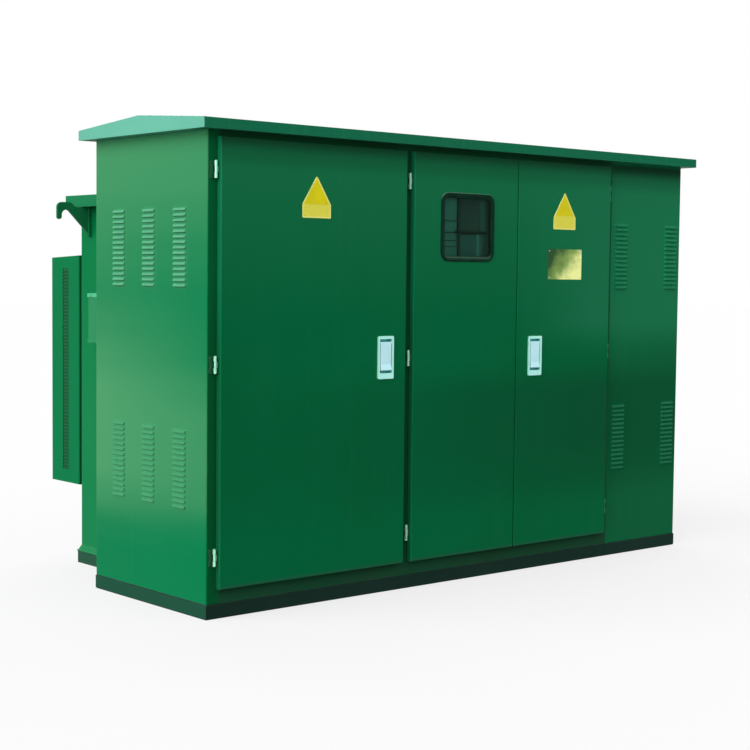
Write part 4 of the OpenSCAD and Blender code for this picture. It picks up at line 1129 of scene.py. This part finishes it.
SCREEN_EDGE = np.array([(0, 0), (0, 0.7), (0.5, 0.9)]) * MM
SCREEN_WIDE, SCREEN_SET, SCREEN_SHORT = 64 * MM, 4.2 * MM, 100 * MM
for side, out in (("left", LEFT), ("right", RIGHT)):
    low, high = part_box(f"guard_{side}")
    at = middle(f"guard_{side}")
    at.x = low.x + SCREEN_SET if out is LEFT else high.x - SCREEN_SET
    sheet = pressed(oblong(SCREEN_WIDE, high.z - low.z - SCREEN_SHORT), 2 * MM, SCREEN_EDGE)
    screen = shell(f"guard_screen_{side}", [stand_on(sheet, at, out)])
    dress(screen, "cabinet", screen_mesh)

# %% [markdown]
# ## Weld beads
# The tank is welded from plate. A bead is a tube half sunk in the corner that it fills, and
# it swells once for every pool of metal laid down, which gives the fine ripple.

# %% Weld beads


def bead(corners, up, radius=4 * MM, pitch=5 * MM, spokes=8):
    """A tube along straight runs through the corners. At the distance s along it the radius
    is r (1 + 0.12 |sin(pi s / pitch)|), and each ring is r (cos b up + sin b side)."""
    corner = np.asarray(corners, float)
    run = np.concatenate([[0], np.cumsum(np.linalg.norm(np.diff(corner, axis=0), axis=1))])
    s = np.arange(0, run[-1], pitch / 3)
    path = np.stack([np.interp(s, run, corner[:, k]) for k in range(3)], 1)
    ahead = np.gradient(path, axis=0)
    side = np.cross(ahead, up)
    side /= np.linalg.norm(side, axis=1, keepdims=True)
    swell = radius * (1 + 0.12 * np.abs(np.sin(np.pi * s / pitch)))
    angle = np.linspace(0, 2 * np.pi, spokes, endpoint=False)
    ring = np.cos(angle)[:, None] * np.asarray(up) + np.sin(angle)[:, None] * side[:, None]
    return path[:, None] + swell[:, None, None] * ring


low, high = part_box("tank_walls")
foot = [(x, y, low.z) for x, y in (
    (low.x, low.y), (low.x, high.y), (high.x, high.y), (high.x, low.y))]
beads = [bead(foot, UP)]
HOOK_ROOT, HOOK_SHEET = 143 * MM, 12 * MM
for side, node in ((low.x, "hooks_left"), (high.x, "hooks_right")):
    hook_low, hook_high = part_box(node)
    for y in (hook_low.y, hook_low.y + HOOK_SHEET, hook_high.y - HOOK_SHEET, hook_high.y):
        root = [(side, y, hook_low.z), (side, y, hook_low.z + HOOK_ROOT)]
        beads.append(bead(root, REAR, 3.5 * MM))
dress(shell("tank_welds", beads), "cabinet", tank_green)

# %% [markdown]
# ## Roof rivets
# The roof sheets are riveted to the gable at each end. The rivets stand in a row that climbs
# the slope, so each is turned about a line that leans with the sheet: with a rise h over a
# run r, outwards is (0, -h/r, 1) on the front slope and (0, h/r, 1) on the rear one.

# %% Roof rivets
ROOF_RIVET = np.array([(4.0, -0.2), (4.0, 0.4), (3.4, 1.2), (2.2, 1.8), (0.8, 2.0),
                       (0.3, 2.0)]) * MM
ROOF_RISE, RIVET_SET = 36 * MM, 14 * MM
UP_THE_SLOPE = np.linspace(0.05, 0.86, 6)
rivets = []
for node, way in (("roof_front", 1), ("roof_rear", -1)):
    low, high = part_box(node)
    run = high.y - low.y
    eave = low.y if way > 0 else high.y
    lean = np.array([0, -way * ROOF_RISE / run, 1.0])
    lean /= np.linalg.norm(lean)
    for x in (low.x + RIVET_SET, high.x - RIVET_SET):
        for t in UP_THE_SLOPE:
            at = (x, eave + way * t * run, high.z - ROOF_RISE * (1 - t))
            rivets.append(stand_on(turned(ROOF_RIVET, 10), at, lean, (0, lean[2], -lean[1])))
dress(shell("roof_rivets", rivets), "cabinet", roof_green)

# %% [markdown]
# ## Door seals
# A strip of sponge rubber of D section runs round each opening, on the face of the frame,
# where the door's flange closes on it. It shows when a door stands open.

# %% Door seals
SEAL = np.array([(-4, 0.05), (-4, 2.2), (-3, 3.8), (-1.2, 4.5), (1.2, 4.5), (3, 3.8),
                 (4, 2.2), (4, 0.05)]) * MM
SEAL_SET, SEAL_CORNER = 8 * MM, 12 * MM  # from the door's edge to the seal's middle
frame_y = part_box("sill")[0].y
for number, first, last in ((1, "door_1", "door_1"), (2, "door_2", "door_3")):
    low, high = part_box(first)[0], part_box(last)[1]
    wide, tall = high.x - low.x - 2 * SEAL_SET, high.z - low.z - 2 * SEAL_SET
    at = ((low.x + high.x) / 2, frame_y, (low.z + high.z) / 2)
    ring = stand_on(pressed(oblong(wide, tall), SEAL_CORNER, SEAL), at, FRONT)
    seal = shell(f"door_seal_{number}", [ring], loop=True, capped=False, crease=60)
    dress(seal, "cabinet", seal_rubber)
